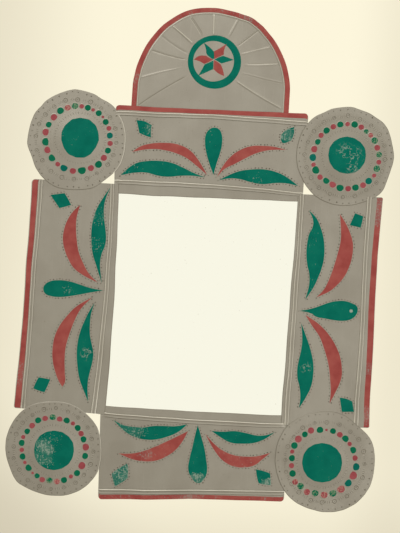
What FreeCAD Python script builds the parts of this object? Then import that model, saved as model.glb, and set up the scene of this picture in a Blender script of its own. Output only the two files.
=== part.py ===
import FreeCAD, Part
import math
import os
import Sketcher

os.makedirs("parts", exist_ok=True)

# A tin-framed wall mirror, in millimetres. The wall is the plane y = 0 and the front faces -Y.
# A depth is a distance from the wall towards the front. x = 0 and z = 0 are the middle of the
# sight opening.

SIZES = {
    # the tinplate and the stack behind the opening
    "tin": 0.4,
    "glass_wide": 203.2,
    "glass_high": 254.0,
    "glass_thick": 2.2,
    "card_thick": 0.9,
    "field_rise": 0.6,
    "field_border": 14.0,
    # the four flat panels round the sight opening
    "sight_wide": 194.0,
    "sight_high": 234.0,
    "left_panel_wide": 99.0,
    "right_panel_wide": 94.0,
    "side_panel_short": 1.0,
    "top_panel_high": 97.5,
    "bottom_panel_high": 98.0,
    "cap_panel_wide": 207.0,
    "hem_wide": 5.8,
    "corner_radius": 4.4,
    # the raised beads along the panels
    "bead_wide": 4.4,
    "bead_rise": 1.3,
    "side_bead_in": 10.6,
    "left_bead_stop": 4.5,
    "right_bead_stop": 8.5,
    "cap_bead_in": 8.5,
    "side_lip_bead_in": 7.0,
    "top_lip_bead_in": 12.2,
    "bottom_lip_bead_in": 10.4,
    # the corner discs, each cut and set by the maker's hand: how wide it is, and how far its
    # middle lies past the end of the side panel and the end of the cap panel that it joins
    "disc_rim": 15.0,
    "disc_crown": 2.6,
    "top_left_disc_wide": 108.0,
    "top_left_disc_past_side": 45.9,
    "top_left_disc_past_cap": 44.8,
    "top_right_disc_wide": 108.0,
    "top_right_disc_past_side": 45.5,
    "top_right_disc_past_cap": 44.6,
    "bottom_left_disc_wide": 106.0,
    "bottom_left_disc_past_side": 42.0,
    "bottom_left_disc_past_cap": 49.1,
    "bottom_right_disc_wide": 108.0,
    "bottom_right_disc_past_side": 38.2,
    "bottom_right_disc_past_cap": 42.7,
    # the crest
    "crest_radius": 87.0,
    "crest_rise": 112.0,
    "crest_lap": 14.0,
    "crest_shift": 3.3,
    "crest_hem": 5.4,
    "crest_bead_in": 7.2,
    "crest_bead_wide": 2.6,
    "crest_bead_rise": 0.8,
    "fan_drop": 61.0,
    "crease_inner": 34.0,
    "crease_wide": 2.4,
    "crease_rise": 0.5,
    "score_deep": 0.15,
    # the strips that hold the pane
    "pane_gap": 0.3,
    "channel_foot": 10.0,
    "channel_lip": 7.0,
    "channel_corner": 12.0,
    "channel_short": 2.0,
    "tab_wide": 12.0,
    "tab_out": 55.0,
    # the braces behind the crest
    "brace_wide": 14.0,
    "brace_out": 52.0,
    "brace_down": 42.0,
    "brace_up": 44.0,
    "brace_joggle": 3.0,
    # the hanger
    "hanger_above": 1.5,
    "strap_wide": 14.0,
    "strap_leg": 9.0,
    "ring_wire": 1.8,
    "ring_wide": 32.0,
    "ring_bend": 5.0,
    "eye_gap": 0.08,
    # the solder
    "solder_leg": 1.2,
    "disc_solder_long": 22.0,
    "lap_solder_long": 6.0,
    "foot_solder_long": 9.0,
    "foot_solder_out": 78.0,
    "crest_solder_long": 12.0,
    "crest_solder_out": 28.0,
    "strap_solder_long": 5.0,
    # how far a cutter runs past what it cuts
    "overrun": 2.0,
}

# The crest's creases fan out from the middle of its ring: how far each leans from the upright, in
# degrees, and how far it reaches, as a share of the crest's radius.
CREASE_LEAN_DEGREES = [27.5, 50.0, 69.0, 86.0, 103.5, 121.0]
CREASE_REACH_SHARES = [0.67, 0.71, 0.77, 0.84, 0.90, 0.97]
UPRIGHT_REACH_SHARE = 0.65

doc = FreeCAD.newDocument("tin_mirror")
sheet = doc.addObject("Spreadsheet::Sheet", "sizes")
for row, (alias, length) in enumerate(SIZES.items(), start=1):
    sheet.set(f"A{row}", alias)
    sheet.set(f"B{row}", str(length))
    sheet.setAlias(f"B{row}", alias)
doc.recompute()

X_WAY = FreeCAD.Vector(1, 0, 0)
Y_WAY = FreeCAD.Vector(0, 1, 0)
Z_WAY = FreeCAD.Vector(0, 0, 1)

# Depths and places that several pieces share, as expressions on the sheet.
CAP_BACK = "(sizes.field_rise + sizes.tin + sizes.card_thick + sizes.glass_thick)"
SIDE_BACK = f"({CAP_BACK} + sizes.tin)"
DISC_BACK = f"({SIDE_BACK} + sizes.tin)"
CREST_BACK = f"({CAP_BACK} - 2 * sizes.tin)"
PLATE_FRONT = "(sizes.field_rise + sizes.tin)"
CARD_FRONT = f"({PLATE_FRONT} + sizes.card_thick)"
SIGHT_SIDE = "(sizes.sight_wide / 2)"
SIGHT_END = "(sizes.sight_high / 2)"
SIDE_HIGH = "(sizes.glass_high - sizes.side_panel_short)"
TOP_EDGE = f"({SIGHT_END} + sizes.top_panel_high)"
CREST_FOOT = f"({TOP_EDGE} - sizes.crest_lap)"
CREST_SPRING = f"({TOP_EDGE} + sizes.crest_rise - sizes.crest_radius)"
FAN_CENTRE = f"({TOP_EDGE} + sizes.crest_rise - sizes.fan_drop)"
BAR_UP = f"({TOP_EDGE} + sizes.hanger_above)"
EYE_OUTER = "(sizes.ring_wire / 2 + sizes.eye_gap + sizes.tin)"
BAR_DEPTH = f"({CREST_BACK} - {EYE_OUTER})"


def new_body(name):
    body = doc.addObject("PartDesign::Body", name)
    body.Label = name
    return body


def new_sketch(body, name, role, offset):
    """A sketch on one of the body's own planes, moved along that plane's normal."""
    sketch = body.newObject("Sketcher::SketchObject", name)
    plane = [feature for feature in body.Origin.OriginFeatures if feature.Role == role][0]
    sketch.AttachmentSupport = [(plane, "")]
    sketch.MapMode = "FlatFace"
    sketch.setExpression("AttachmentOffset.Base.z", offset)
    return sketch


def pin(sketch, geometry, vertex, across, up):
    """Ties one point of a sketch to its two distances from the origin."""
    for kind, distance in (("DistanceX", across), ("DistanceY", up)):
        number = sketch.addConstraint(Sketcher.Constraint(kind, -1, 1, geometry, vertex, 1.0))
        sketch.setExpression(f"Constraints[{number}]", distance)


def add_polygon(sketch, corners):
    """A closed outline of straight edges, each corner pinned by two expressions."""
    first = sketch.GeometryCount
    count = len(corners)
    turns = [2 * math.pi * index / count for index in range(count)]
    spots = [FreeCAD.Vector(math.cos(turn), math.sin(turn), 0) for turn in turns]
    for index in range(count):
        sketch.addGeometry(Part.LineSegment(spots[index], spots[(index + 1) % count]))
    for index in range(count):
        following = first + (index + 1) % count
        sketch.addConstraint(Sketcher.Constraint("Coincident", first + index, 2, following, 1))
    for index, (across, up) in enumerate(corners):
        pin(sketch, first + index, 1, across, up)


def add_circle(sketch, across, up, radius):
    number = sketch.addGeometry(Part.Circle(FreeCAD.Vector(0, 0, 0), Z_WAY, 1.0))
    pin(sketch, number, 3, across, up)
    bound = sketch.addConstraint(Sketcher.Constraint("Radius", number, 1.0))
    sketch.setExpression(f"Constraints[{bound}]", radius)


def box_corners(low_x, high_x, low_z, high_z):
    return [(low_x, low_z), (high_x, low_z), (high_x, high_z), (low_x, high_z)]


def grow(body, sketch, name, length):
    """A pad along the sketch's normal."""
    pad = body.newObject("PartDesign::Pad", name)
    pad.Profile = sketch
    pad.setExpression("Length", length)
    return pad


def carve(body, sketch, name, length):
    """A pocket along the sketch's normal."""
    pocket = body.newObject("PartDesign::Pocket", name)
    pocket.Profile = sketch
    pocket.Reversed = True
    pocket.setExpression("Length", length)
    return pocket


def front_pad(body, name, corners, depth, length):
    sketch = new_sketch(body, f"{name}_outline", "XZ_Plane", depth)
    add_polygon(sketch, corners)
    return grow(body, sketch, name, length)


def front_pocket(body, name, corners, depth, length):
    sketch = new_sketch(body, f"{name}_outline", "XZ_Plane", depth)
    add_polygon(sketch, corners)
    return carve(body, sketch, name, length)


def round_corners(body, name, base, corner_spots):
    """Rounds the upright edges, those along Y, that stand at the given corners."""
    doc.recompute()
    edges = []
    for number, edge in enumerate(base.Shape.Edges, start=1):
        box = edge.BoundBox
        if box.XLength + box.ZLength > box.YLength:
            continue
        for spot_x, spot_z in corner_spots:
            if abs(box.XMin - spot_x) + abs(box.ZMin - spot_z) < SIZES["tin"]:
                edges.append(f"Edge{number}")
    fillet = body.newObject("PartDesign::Fillet", name)
    fillet.Base = (base, edges)
    fillet.setExpression("Radius", "sizes.corner_radius")
    return fillet


def close_with_arc(sketch, start, end, bulge):
    """Joins two pinned line ends by an arc that bulges along a direction, and returns its number."""
    doc.recompute()
    first = sketch.getPoint(*start)
    last = sketch.getPoint(*end)
    span = (last - first).Length / 2
    middle = (first + last) / 2
    arc = sketch.addGeometry(Part.Arc(first, middle + bulge * span, last))
    # an arc's first point is the one from which it runs counter-clockwise
    near, far = (1, 2) if sketch.getPoint(arc, 1).isEqual(first, span / 2) else (2, 1)
    sketch.addConstraint(Sketcher.Constraint("Coincident", arc, near, *start))
    sketch.addConstraint(Sketcher.Constraint("Coincident", arc, far, *end))
    return arc


def bend(sketch, arc, half_chord, rise):
    """Gives an arc the radius that rises so far over half its chord."""
    bound = sketch.addConstraint(Sketcher.Constraint("Radius", arc, sketch.Geometry[arc].Radius))
    radius = f"({half_chord} * {half_chord} + {rise} * {rise}) / (2 * {rise})"
    sketch.setExpression(f"Constraints[{bound}]", radius)


def add_segment(sketch, role, middle, depth, wide, rise):
    """The section of a bead: an arc that bulges to the front over a straight chord."""
    low, high = f"{middle} - {wide} / 2", f"{middle} + {wide} / 2"
    if role == "XY_Plane":
        ends, front = [(low, f"-{depth}"), (high, f"-{depth}")], Y_WAY * -1
    else:
        ends, front = [(f"-{depth}", low), (f"-{depth}", high)], X_WAY * -1
    chord = sketch.addGeometry(Part.LineSegment(FreeCAD.Vector(0, 0, 0), FreeCAD.Vector(1, 1, 0)))
    pin(sketch, chord, 1, *ends[0])
    pin(sketch, chord, 2, *ends[1])
    shallow = SIZES[rise.replace("sizes.", "")] / SIZES[wide.replace("sizes.", "")] * 2
    arc = close_with_arc(sketch, (chord, 1), (chord, 2), front * shallow)
    bend(sketch, arc, f"({wide} / 2)", rise)


def add_bead(body, name, role, middle, start, end, face, wide, rise, open_start, open_end):
    """A hollow bead pressed out of the sheet whose front face lies at the depth face."""
    outer = new_sketch(body, f"{name}_outer_section", role, start)
    add_segment(outer, role, middle, face, wide, rise)
    grow(body, outer, f"{name}_rise", f"({end}) - ({start})")
    before = "sizes.overrun" if open_start else "-sizes.tin"
    after = "sizes.overrun" if open_end else "-sizes.tin"
    inner = new_sketch(body, f"{name}_inner_section", role, f"({start}) - ({before})")
    add_segment(inner, role, middle, f"({face} - sizes.tin)", wide, rise)
    carve(body, inner, f"{name}_hollow", f"({end}) - ({start}) + ({before}) + ({after})")


def make_side_panel(name, side, wide, bead_stop):
    """A standing panel: side is - on the left and empty on the right."""
    inner = f"{side}{SIGHT_SIDE}"
    outer = f"{side}({SIGHT_SIDE} + {wide})"
    hem_in = f"{side}({SIGHT_SIDE} + {wide} - sizes.hem_wide)"
    low, high = f"-{SIDE_HIGH} / 2", f"{SIDE_HIGH} / 2"
    body = new_body(name)
    front_pad(body, f"{name}_sheet", box_corners(inner, outer, low, high), SIDE_BACK, "sizes.tin")
    hem_depth = f"{SIDE_BACK} - sizes.tin"
    hem = front_pad(body, f"{name}_hem", box_corners(hem_in, outer, low, high), hem_depth, "sizes.tin")
    sign = -1 if side == "-" else 1
    width = SIZES[wide.replace("sizes.", "")]
    edge_x = sign * (SIZES["sight_wide"] / 2 + width)
    edge_z = (SIZES["glass_high"] - SIZES["side_panel_short"]) / 2
    round_corners(body, f"{name}_corners", hem, [(edge_x, edge_z), (edge_x, -edge_z)])
    # the outer bead stops short of the disc that lies on the panel's foot
    outer_middle = f"({side}({SIGHT_SIDE} + {wide} - sizes.side_bead_in))"
    add_bead(body, f"{name}_outer_bead", "XY_Plane", outer_middle, f"{low} + {bead_stop}", high,
             DISC_BACK, "sizes.bead_wide", "sizes.bead_rise", False, True)
    lip_middle = f"({side}({SIGHT_SIDE} + sizes.side_lip_bead_in))"
    add_bead(body, f"{name}_lip_bead", "XY_Plane", lip_middle, low, high,
             DISC_BACK, "sizes.bead_wide", "sizes.bead_rise", True, True)


def make_cap_panel(name, side, high, lip_in):
    """A lying panel: side is empty above the opening and - below it."""
    inner = f"{side}{SIGHT_END}"
    outer = f"{side}({SIGHT_END} + {high})"
    hem_in = f"{side}({SIGHT_END} + {high} - sizes.hem_wide)"
    low, end = "-sizes.cap_panel_wide / 2", "sizes.cap_panel_wide / 2"
    body = new_body(name)
    front_pad(body, f"{name}_sheet", box_corners(low, end, inner, outer), CAP_BACK, "sizes.tin")
    hem_depth = f"{CAP_BACK} - sizes.tin"
    hem = front_pad(body, f"{name}_hem", box_corners(low, end, hem_in, outer), hem_depth, "sizes.tin")
    sign = -1 if side == "-" else 1
    edge_z = sign * (SIZES["sight_high"] / 2 + SIZES[high.replace("sizes.", "")])
    edge_x = SIZES["cap_panel_wide"] / 2
    round_corners(body, f"{name}_corners", hem, [(edge_x, edge_z), (-edge_x, edge_z)])
    outer_middle = f"({side}({SIGHT_END} + {high} - sizes.cap_bead_in))"
    lip_middle = f"({side}({SIGHT_END} + {lip_in}))"
    add_bead(body, f"{name}_outer_bead", "YZ_Plane", outer_middle, low, end, SIDE_BACK,
             "sizes.bead_wide", "sizes.bead_rise", True, True)
    # the side panels lap over the ends of the bead next to the opening, so it stops short of them
    stop = f"({SIGHT_SIDE} - sizes.tin)"
    add_bead(body, f"{name}_lip_bead", "YZ_Plane", lip_middle, f"-{stop}", stop, SIDE_BACK,
             "sizes.bead_wide", "sizes.bead_rise", False, False)


make_side_panel("left_panel", "-", "sizes.left_panel_wide", "sizes.left_bead_stop")
make_side_panel("right_panel", "", "sizes.right_panel_wide", "sizes.right_bead_stop")
make_cap_panel("top_panel", "", "sizes.top_panel_high", "sizes.top_lip_bead_in")
make_cap_panel("bottom_panel", "-", "sizes.bottom_panel_high", "sizes.bottom_lip_bead_in")


def make_disc(name, across, up):
    """A disc with a flat rim and a shallow crown, turned about its own middle."""
    body = new_body(name)
    sketch = new_sketch(body, f"{name}_section", "YZ_Plane", "0 * sizes.tin")
    rim = f"(sizes.{name}_wide / 2)"
    dome = f"({rim} - sizes.disc_rim)"
    crown = "sizes.disc_crown"
    corners = [(f"-({crown} + sizes.tin)", "0 * sizes.tin"), ("-sizes.tin", dome), ("-sizes.tin", rim),
               ("0 * sizes.tin", rim), ("0 * sizes.tin", dome), (f"-{crown}", "0 * sizes.tin")]
    lines = []
    for begin, end in ((1, 2), (2, 3), (3, 4), (5, 0)):
        line = sketch.addGeometry(Part.LineSegment(FreeCAD.Vector(0, begin, 0), FreeCAD.Vector(1, end, 0)))
        pin(sketch, line, 1, *corners[begin])
        pin(sketch, line, 2, *corners[end])
        lines.append(line)
    # from the crown each arc falls to the dome's edge and meets it on the slant
    half_wide = SIZES[f"{name}_wide"] / 2 - SIZES["disc_rim"]
    slope = math.atan2(SIZES["disc_crown"], half_wide)
    bulge = FreeCAD.Vector(-math.cos(slope), math.sin(slope), 0) * math.tan(slope / 2)
    for top_end, foot_end in (((lines[3], 2), (lines[0], 1)), ((lines[3], 1), (lines[2], 2))):
        bend(sketch, close_with_arc(sketch, top_end, foot_end, bulge), dome, crown)
    turned = body.newObject("PartDesign::Revolution", f"{name}_turned")
    turned.Profile = sketch
    turned.ReferenceAxis = (sketch, ["H_Axis"])
    body.setExpression("Placement.Base.x", across)
    body.setExpression("Placement.Base.y", f"-{DISC_BACK}")
    body.setExpression("Placement.Base.z", up)


DISC_PLACES = {}
for above, row_name in ((1, "top"), (-1, "bottom")):
    for out, side_name in ((-1, "left"), (1, "right")):
        disc = f"{row_name}_{side_name}_disc"
        DISC_PLACES[disc] = (f"{out} * (sizes.cap_panel_wide / 2 + sizes.{disc}_past_cap)",
                             f"{above} * ({SIDE_HIGH} / 2 + sizes.{disc}_past_side)")
for disc_name, (disc_across, disc_up) in DISC_PLACES.items():
    make_disc(disc_name, disc_across, disc_up)


def add_arch(sketch, radius, foot):
    """A stilted half circle: an arc over two straight sides and a straight foot."""
    left = f"0 - {radius}"
    corners = [(left, CREST_SPRING), (left, foot), (radius, foot), (radius, CREST_SPRING)]
    lines = []
    for index in range(len(corners) - 1):
        line = sketch.addGeometry(Part.LineSegment(FreeCAD.Vector(index, 0, 0), FreeCAD.Vector(index, 1, 0)))
        pin(sketch, line, 1, *corners[index])
        pin(sketch, line, 2, *corners[index + 1])
        lines.append(line)
    arc = close_with_arc(sketch, (lines[-1], 2), (lines[0], 1), Y_WAY)
    middle = sketch.addConstraint(Sketcher.Constraint("DistanceY", -1, 1, arc, 3, 1.0))
    sketch.setExpression(f"Constraints[{middle}]", CREST_SPRING)


def crease_corners(lean_degrees, reach_share, wide):
    """A slim strip that runs out from the fan's centre, turned from the upright."""
    lean = math.radians(lean_degrees)
    corners = []
    for side, radius in ((-1, "sizes.crease_inner"), (1, "sizes.crease_inner"),
                         (1, f"{reach_share} * sizes.crest_radius"),
                         (-1, f"{reach_share} * sizes.crest_radius")):
        half = f"({side} * {wide} / 2)"
        across = f"{math.sin(lean)} * {radius} + {math.cos(lean)} * {half}"
        up = f"{FAN_CENTRE} + {math.cos(lean)} * {radius} - {math.sin(lean)} * {half}"
        corners.append((across, up))
    return corners


def make_crest():
    """The arched fan: hemmed rim, fine bead inside it, ridges and scored lines by turns."""
    body = new_body("crest")
    sketch = new_sketch(body, "crest_outline", "XZ_Plane", CREST_BACK)
    add_arch(sketch, "sizes.crest_radius", CREST_FOOT)
    grow(body, sketch, "crest_sheet", "sizes.tin")
    hem = new_sketch(body, "crest_hem_outline", "XZ_Plane", f"{CREST_BACK} - sizes.tin")
    add_arch(hem, "sizes.crest_radius", CREST_FOOT)
    grow(body, hem, "crest_hem_fold", "sizes.tin")
    inside = new_sketch(body, "crest_hem_inside", "XZ_Plane", f"{CREST_BACK} - sizes.tin")
    add_arch(inside, "(sizes.crest_radius - sizes.crest_hem)", f"{CREST_FOOT} - sizes.overrun")
    carve(body, inside, "crest_hem_cut", "sizes.tin")

    bead_radius = "(sizes.crest_radius - sizes.crest_bead_in)"
    wide, rise = "sizes.crest_bead_wide", "sizes.crest_bead_rise"
    front = f"({CREST_BACK} + sizes.tin)"
    arch = new_sketch(body, "crest_bead_section", "YZ_Plane", "0 * sizes.tin")
    add_segment(arch, "YZ_Plane", f"({CREST_SPRING} + {bead_radius})", front, wide, rise)
    axis = arch.addGeometry(Part.LineSegment(FreeCAD.Vector(0, 0, 0), FreeCAD.Vector(1, 0, 0)))
    arch.setConstruction(axis, True)
    pin(arch, axis, 1, f"0 - {CAP_BACK}", CREST_SPRING)
    pin(arch, axis, 2, CAP_BACK, CREST_SPRING)
    turned = body.newObject("PartDesign::Revolution", "crest_bead_arch")
    turned.Profile = arch
    turned.ReferenceAxis = (arch, ["Axis0"])
    turned.Angle = 180
    turned.Midplane = True
    for side, label in (("-", "left"), ("", "right")):
        straight = new_sketch(body, f"crest_bead_{label}_section", "XY_Plane", TOP_EDGE)
        add_segment(straight, "XY_Plane", f"({side}{bead_radius})", front, wide, rise)
        grow(body, straight, f"crest_bead_{label}", f"{CREST_SPRING} - {TOP_EDGE}")

    leans = [(0.0, UPRIGHT_REACH_SHARE)]
    for lean_degrees, share in zip(CREASE_LEAN_DEGREES, CREASE_REACH_SHARES):
        leans += [(lean_degrees, share), (-lean_degrees, share)]
    leans.sort()
    ridges, scores = leans[0::2], leans[1::2]
    ridge_sketch = new_sketch(body, "ridge_outlines", "XZ_Plane", front)
    for lean_degrees, share in ridges:
        add_polygon(ridge_sketch, crease_corners(lean_degrees, share, "sizes.crease_wide"))
    grow(body, ridge_sketch, "ridges", "sizes.crease_rise")
    hollow_sketch = new_sketch(body, "ridge_hollow_outlines", "XZ_Plane", CREST_BACK)
    for lean_degrees, share in ridges:
        hollow_wide = "(sizes.crease_wide - 2 * sizes.tin)"
        add_polygon(hollow_sketch, crease_corners(lean_degrees, share, hollow_wide))
    carve(body, hollow_sketch, "ridge_hollows", "sizes.crease_rise")
    score_sketch = new_sketch(body, "score_outlines", "XZ_Plane", f"{front} - sizes.score_deep")
    for lean_degrees, share in scores:
        add_polygon(score_sketch, crease_corners(lean_degrees, share, "sizes.crease_wide / 2"))
    carve(body, score_sketch, "scores", "sizes.overrun")
    body.setExpression("Placement.Base.x", "-sizes.crest_shift")


make_crest()


def make_pane(name, depth, thick):
    body = new_body(name)
    corners = box_corners("-sizes.glass_wide / 2", "sizes.glass_wide / 2",
                          "-sizes.glass_high / 2", "sizes.glass_high / 2")
    front_pad(body, f"{name}_sheet", corners, depth, thick)
    return body


make_pane("mirror_glass", CARD_FRONT, "sizes.glass_thick")
make_pane("packing_card", PLATE_FRONT, "sizes.card_thick")


def field_corners(border):
    wide, high = f"(sizes.glass_wide / 2 - {border})", f"(sizes.glass_high / 2 - {border})"
    return box_corners(f"-{wide}", wide, f"-{high}", high)


# The back plate: its border lies under the channels and its pressed field touches the wall.
back_plate = make_pane("back_plate", "sizes.field_rise", "sizes.tin")
front_pad(back_plate, "field", field_corners("sizes.field_border"), "0 * sizes.tin", "sizes.field_rise")
front_pocket(back_plate, "field_hollow", field_corners("(sizes.field_border + sizes.tin)"),
             "sizes.tin", "sizes.field_rise + sizes.overrun")


def clip_corners(side, edge, face):
    """A strip folded in a Z: its foot on the panel's back, its lip behind the back plate."""
    web_in = f"({edge} + sizes.pane_gap)"
    web_out = f"({web_in} + sizes.tin)"
    foot_end = f"({web_out} + sizes.channel_foot)"
    lip_end = f"({web_in} - sizes.channel_lip)"
    rear = "(sizes.field_rise - sizes.tin)"
    return [(f"{side}{foot_end}", face), (f"{side}{web_in}", face),
            (f"{side}{web_in}", "sizes.field_rise"), (f"{side}{lip_end}", "sizes.field_rise"),
            (f"{side}{lip_end}", rear), (f"{side}{web_out}", rear),
            (f"{side}{web_out}", f"({face} - sizes.tin)"), (f"{side}{foot_end}", f"({face} - sizes.tin)")]


def make_side_clip(name, side):
    # it ends short of the solder at the laps, beyond the ends of the opening
    half = f"({SIGHT_END} - sizes.channel_short)"
    body = new_body(name)
    sketch = new_sketch(body, f"{name}_section", "XY_Plane", f"-{half}")
    corners = clip_corners(side, "sizes.glass_wide / 2", SIDE_BACK)
    add_polygon(sketch, [(across, f"-{depth}") for across, depth in corners])
    grow(body, sketch, f"{name}_strip", f"2 * {half}")


def make_cap_clip(name, side, middle, wide):
    body = new_body(name)
    sketch = new_sketch(body, f"{name}_section", "YZ_Plane", f"{middle} - {wide} / 2")
    corners = clip_corners(side, "sizes.glass_high / 2", CAP_BACK)
    add_polygon(sketch, [(f"-{depth}", up) for up, depth in corners])
    grow(body, sketch, f"{name}_strip", wide)


make_side_clip("left_channel", "-")
make_side_clip("right_channel", "")
BOTTOM_CHANNEL_WIDE = "(sizes.glass_wide - 2 * sizes.channel_corner)"
make_cap_clip("bottom_channel", "-", "0 * sizes.tin", BOTTOM_CHANNEL_WIDE)
make_cap_clip("left_retaining_tab", "", "-sizes.tab_out", "sizes.tab_wide")
make_cap_clip("right_retaining_tab", "", "sizes.tab_out", "sizes.tab_wide")


BRACE_LOW = f"({TOP_EDGE} - sizes.brace_down)"
BRACE_HIGH = f"({TOP_EDGE} + sizes.brace_up)"


def make_brace(name, middle):
    """A strip that steps from the top panel's back over the crest's foot to the crest's back."""
    step_high = f"({CREST_FOOT} - sizes.tin)"
    step_low = f"({step_high} - sizes.brace_joggle)"
    outline = [(CAP_BACK, BRACE_LOW), (CAP_BACK, step_low), (CREST_BACK, step_high), (CREST_BACK, BRACE_HIGH),
               (f"({CREST_BACK} - sizes.tin)", BRACE_HIGH), (f"({CREST_BACK} - sizes.tin)", step_high),
               (f"({CAP_BACK} - sizes.tin)", step_low), (f"({CAP_BACK} - sizes.tin)", BRACE_LOW)]
    body = new_body(name)
    sketch = new_sketch(body, f"{name}_section", "YZ_Plane", f"{middle} - sizes.brace_wide / 2")
    add_polygon(sketch, [(f"-{depth}", up) for depth, up in outline])
    grow(body, sketch, f"{name}_strip", "sizes.brace_wide")


make_brace("left_crest_brace", "-sizes.brace_out")
make_brace("right_crest_brace", "sizes.brace_out")


def make_hanger_strap():
    """A strip rolled into an eye round the ring's bar, its two legs flat on the crest's back."""
    body = new_body("hanger_strap")
    start = "-sizes.strap_wide / 2"
    legs = new_sketch(body, "strap_legs_section", "YZ_Plane", start)
    corners = box_corners(f"-{CREST_BACK}", f"-({CREST_BACK} - 2 * sizes.tin)",
                          f"{BAR_UP} - sizes.strap_leg", BAR_UP)
    add_polygon(legs, corners)
    grow(body, legs, "strap_legs", "sizes.strap_wide")
    roll = new_sketch(body, "strap_eye_section", "YZ_Plane", start)
    add_circle(roll, f"-{BAR_DEPTH}", BAR_UP, EYE_OUTER)
    grow(body, roll, "strap_eye", "sizes.strap_wide")
    bore = new_sketch(body, "strap_bore_section", "YZ_Plane", f"{start} - sizes.overrun")
    add_circle(bore, f"-{BAR_DEPTH}", BAR_UP, "sizes.ring_wire / 2 + sizes.eye_gap")
    carve(body, bore, "strap_bore", "sizes.strap_wide + 2 * sizes.overrun")


make_hanger_strap()


def make_hanger_ring():
    """A D of wire: its straight bar turns in the eye, its round side hangs below."""
    wire = "sizes.ring_wire / 2"
    bow = "(sizes.ring_wide / 2 - sizes.ring_wire / 2)"
    bend = "sizes.ring_bend"
    bar = doc.addObject("Part::Cylinder", "ring_bar")
    bar.setExpression("Radius", wire)
    bar.setExpression("Height", f"2 * ({bow} - {bend})")
    bar.Placement.Rotation = FreeCAD.Rotation(Y_WAY, 90)
    bar.setExpression("Placement.Base.x", f"0 - ({bow} - {bend})")
    pieces = [bar]
    # the tube runs round a torus: each stretch starts at its own angle about the Y axis
    for label, radius, sweep, turn, across in (
            ("ring_bow", bow, 180, 180, "0 * sizes.tin"),
            ("ring_right_bend", bend, 90, 0, f"{bow} - {bend}"),
            ("ring_left_bend", bend, 90, 90, f"0 - ({bow} - {bend})")):
        torus = doc.addObject("Part::Torus", label)
        torus.setExpression("Radius1", radius)
        torus.setExpression("Radius2", wire)
        torus.Angle3 = sweep
        flat = FreeCAD.Rotation(X_WAY, 90)
        torus.Placement.Rotation = flat.multiply(FreeCAD.Rotation(Z_WAY, turn))
        torus.setExpression("Placement.Base.x", across)
        torus.setExpression("Placement.Base.z", f"0 - {bend}")
        pieces.append(torus)
    ring = doc.addObject("Part::MultiFuse", "hanger_ring")
    ring.Shapes = pieces
    ring.Label = "hanger_ring"
    ring.setExpression("Placement.Base.y", f"-{BAR_DEPTH}")
    ring.setExpression("Placement.Base.z", BAR_UP)


make_hanger_ring()


def add_fillet(name, long, leg_one, leg_two, way_one, way_two, place):
    """A three-sided bar of solder in the corner of two faces, square to each other."""
    bar = doc.addObject("Part::Wedge", name)
    for side in ("Xmin", "X2min", "X2max", "Ymin"):
        bar.setExpression(side, "0 * sizes.tin")
    bar.setExpression("Xmax", leg_one)
    bar.setExpression("Ymax", leg_two)
    for side in ("Zmin", "Z2min"):
        bar.setExpression(side, f"-{long} / 2")
    for side in ("Zmax", "Z2max"):
        bar.setExpression(side, f"{long} / 2")
    bar.Placement.Rotation = FreeCAD.Rotation(way_one, way_two, way_one.cross(way_two), "XYZ")
    for axis, distance in zip("xyz", place):
        bar.setExpression(f"Placement.Base.{axis}", distance)
    return bar


def group(name, solids):
    compound = doc.addObject("Part::Compound", name)
    compound.Label = name
    compound.Links = solids


def make_disc_solder():
    """On each disc's back, one bar along the side panel's cut end and one along the cap panel's."""
    bars = []
    for name, (across, up) in DISC_PLACES.items():
        out = -1 if "left" in name else 1
        above = 1 if "top" in name else -1
        side_end = f"{above} * {SIDE_HIGH} / 2"
        cap_end = f"{out} * sizes.cap_panel_wide / 2"
        bars.append(add_fillet(f"{name}_side_solder", "sizes.disc_solder_long", "sizes.solder_leg",
                               "sizes.tin", Z_WAY * above, Y_WAY, (across, f"-{DISC_BACK}", side_end)))
        bars.append(add_fillet(f"{name}_cap_solder", "sizes.disc_solder_long", "sizes.solder_leg",
                               "2 * sizes.tin", X_WAY * out, Y_WAY, (cap_end, f"-{DISC_BACK}", up)))
    group("disc_solder", bars)


def make_lap_solder():
    """On the side panels' backs, along the cut ends of the cap panels that lie behind them."""
    bars = []
    for out in (-1, 1):
        for above in (-1, 1):
            middle = f"{above} * ({SIGHT_END} + {SIDE_HIGH} / 2) / 2"
            bars.append(add_fillet(f"lap_solder_{out + above + 2}_{out + 1}", "sizes.lap_solder_long",
                                   "sizes.solder_leg", "sizes.tin", X_WAY * out, Y_WAY,
                                   (f"{out} * sizes.cap_panel_wide / 2", f"-{SIDE_BACK}", middle)))
    group("lap_solder", bars)


def make_channel_solder():
    """Bars along the outer edges of the channels' and tabs' feet."""
    reach = "(sizes.pane_gap + sizes.tin + sizes.channel_foot)"
    foot_end = f"(sizes.glass_high / 2 + {reach})"
    bars = []
    for out in (-1, 1):
        for place in (-1, 0, 1):
            bars.append(add_fillet(f"channel_solder_{out + 1}_{place + 1}", "sizes.foot_solder_long",
                                   "sizes.solder_leg", "sizes.tin", X_WAY * out, Y_WAY,
                                   (f"{out} * (sizes.glass_wide / 2 + {reach})", f"-{SIDE_BACK}",
                                    f"{place} * sizes.foot_solder_out")))
        bars.append(add_fillet(f"bottom_solder_{out + 1}", "sizes.foot_solder_long", "sizes.solder_leg",
                               "sizes.tin", Z_WAY * -1, Y_WAY,
                               (f"{out} * sizes.tab_out", f"-{CAP_BACK}", f"-{foot_end}")))
        bars.append(add_fillet(f"tab_solder_{out + 1}", "sizes.foot_solder_long", "sizes.solder_leg",
                               "sizes.tin", Z_WAY, Y_WAY,
                               (f"{out} * sizes.tab_out", f"-{CAP_BACK}", foot_end)))
    group("channel_solder", bars)


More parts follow.
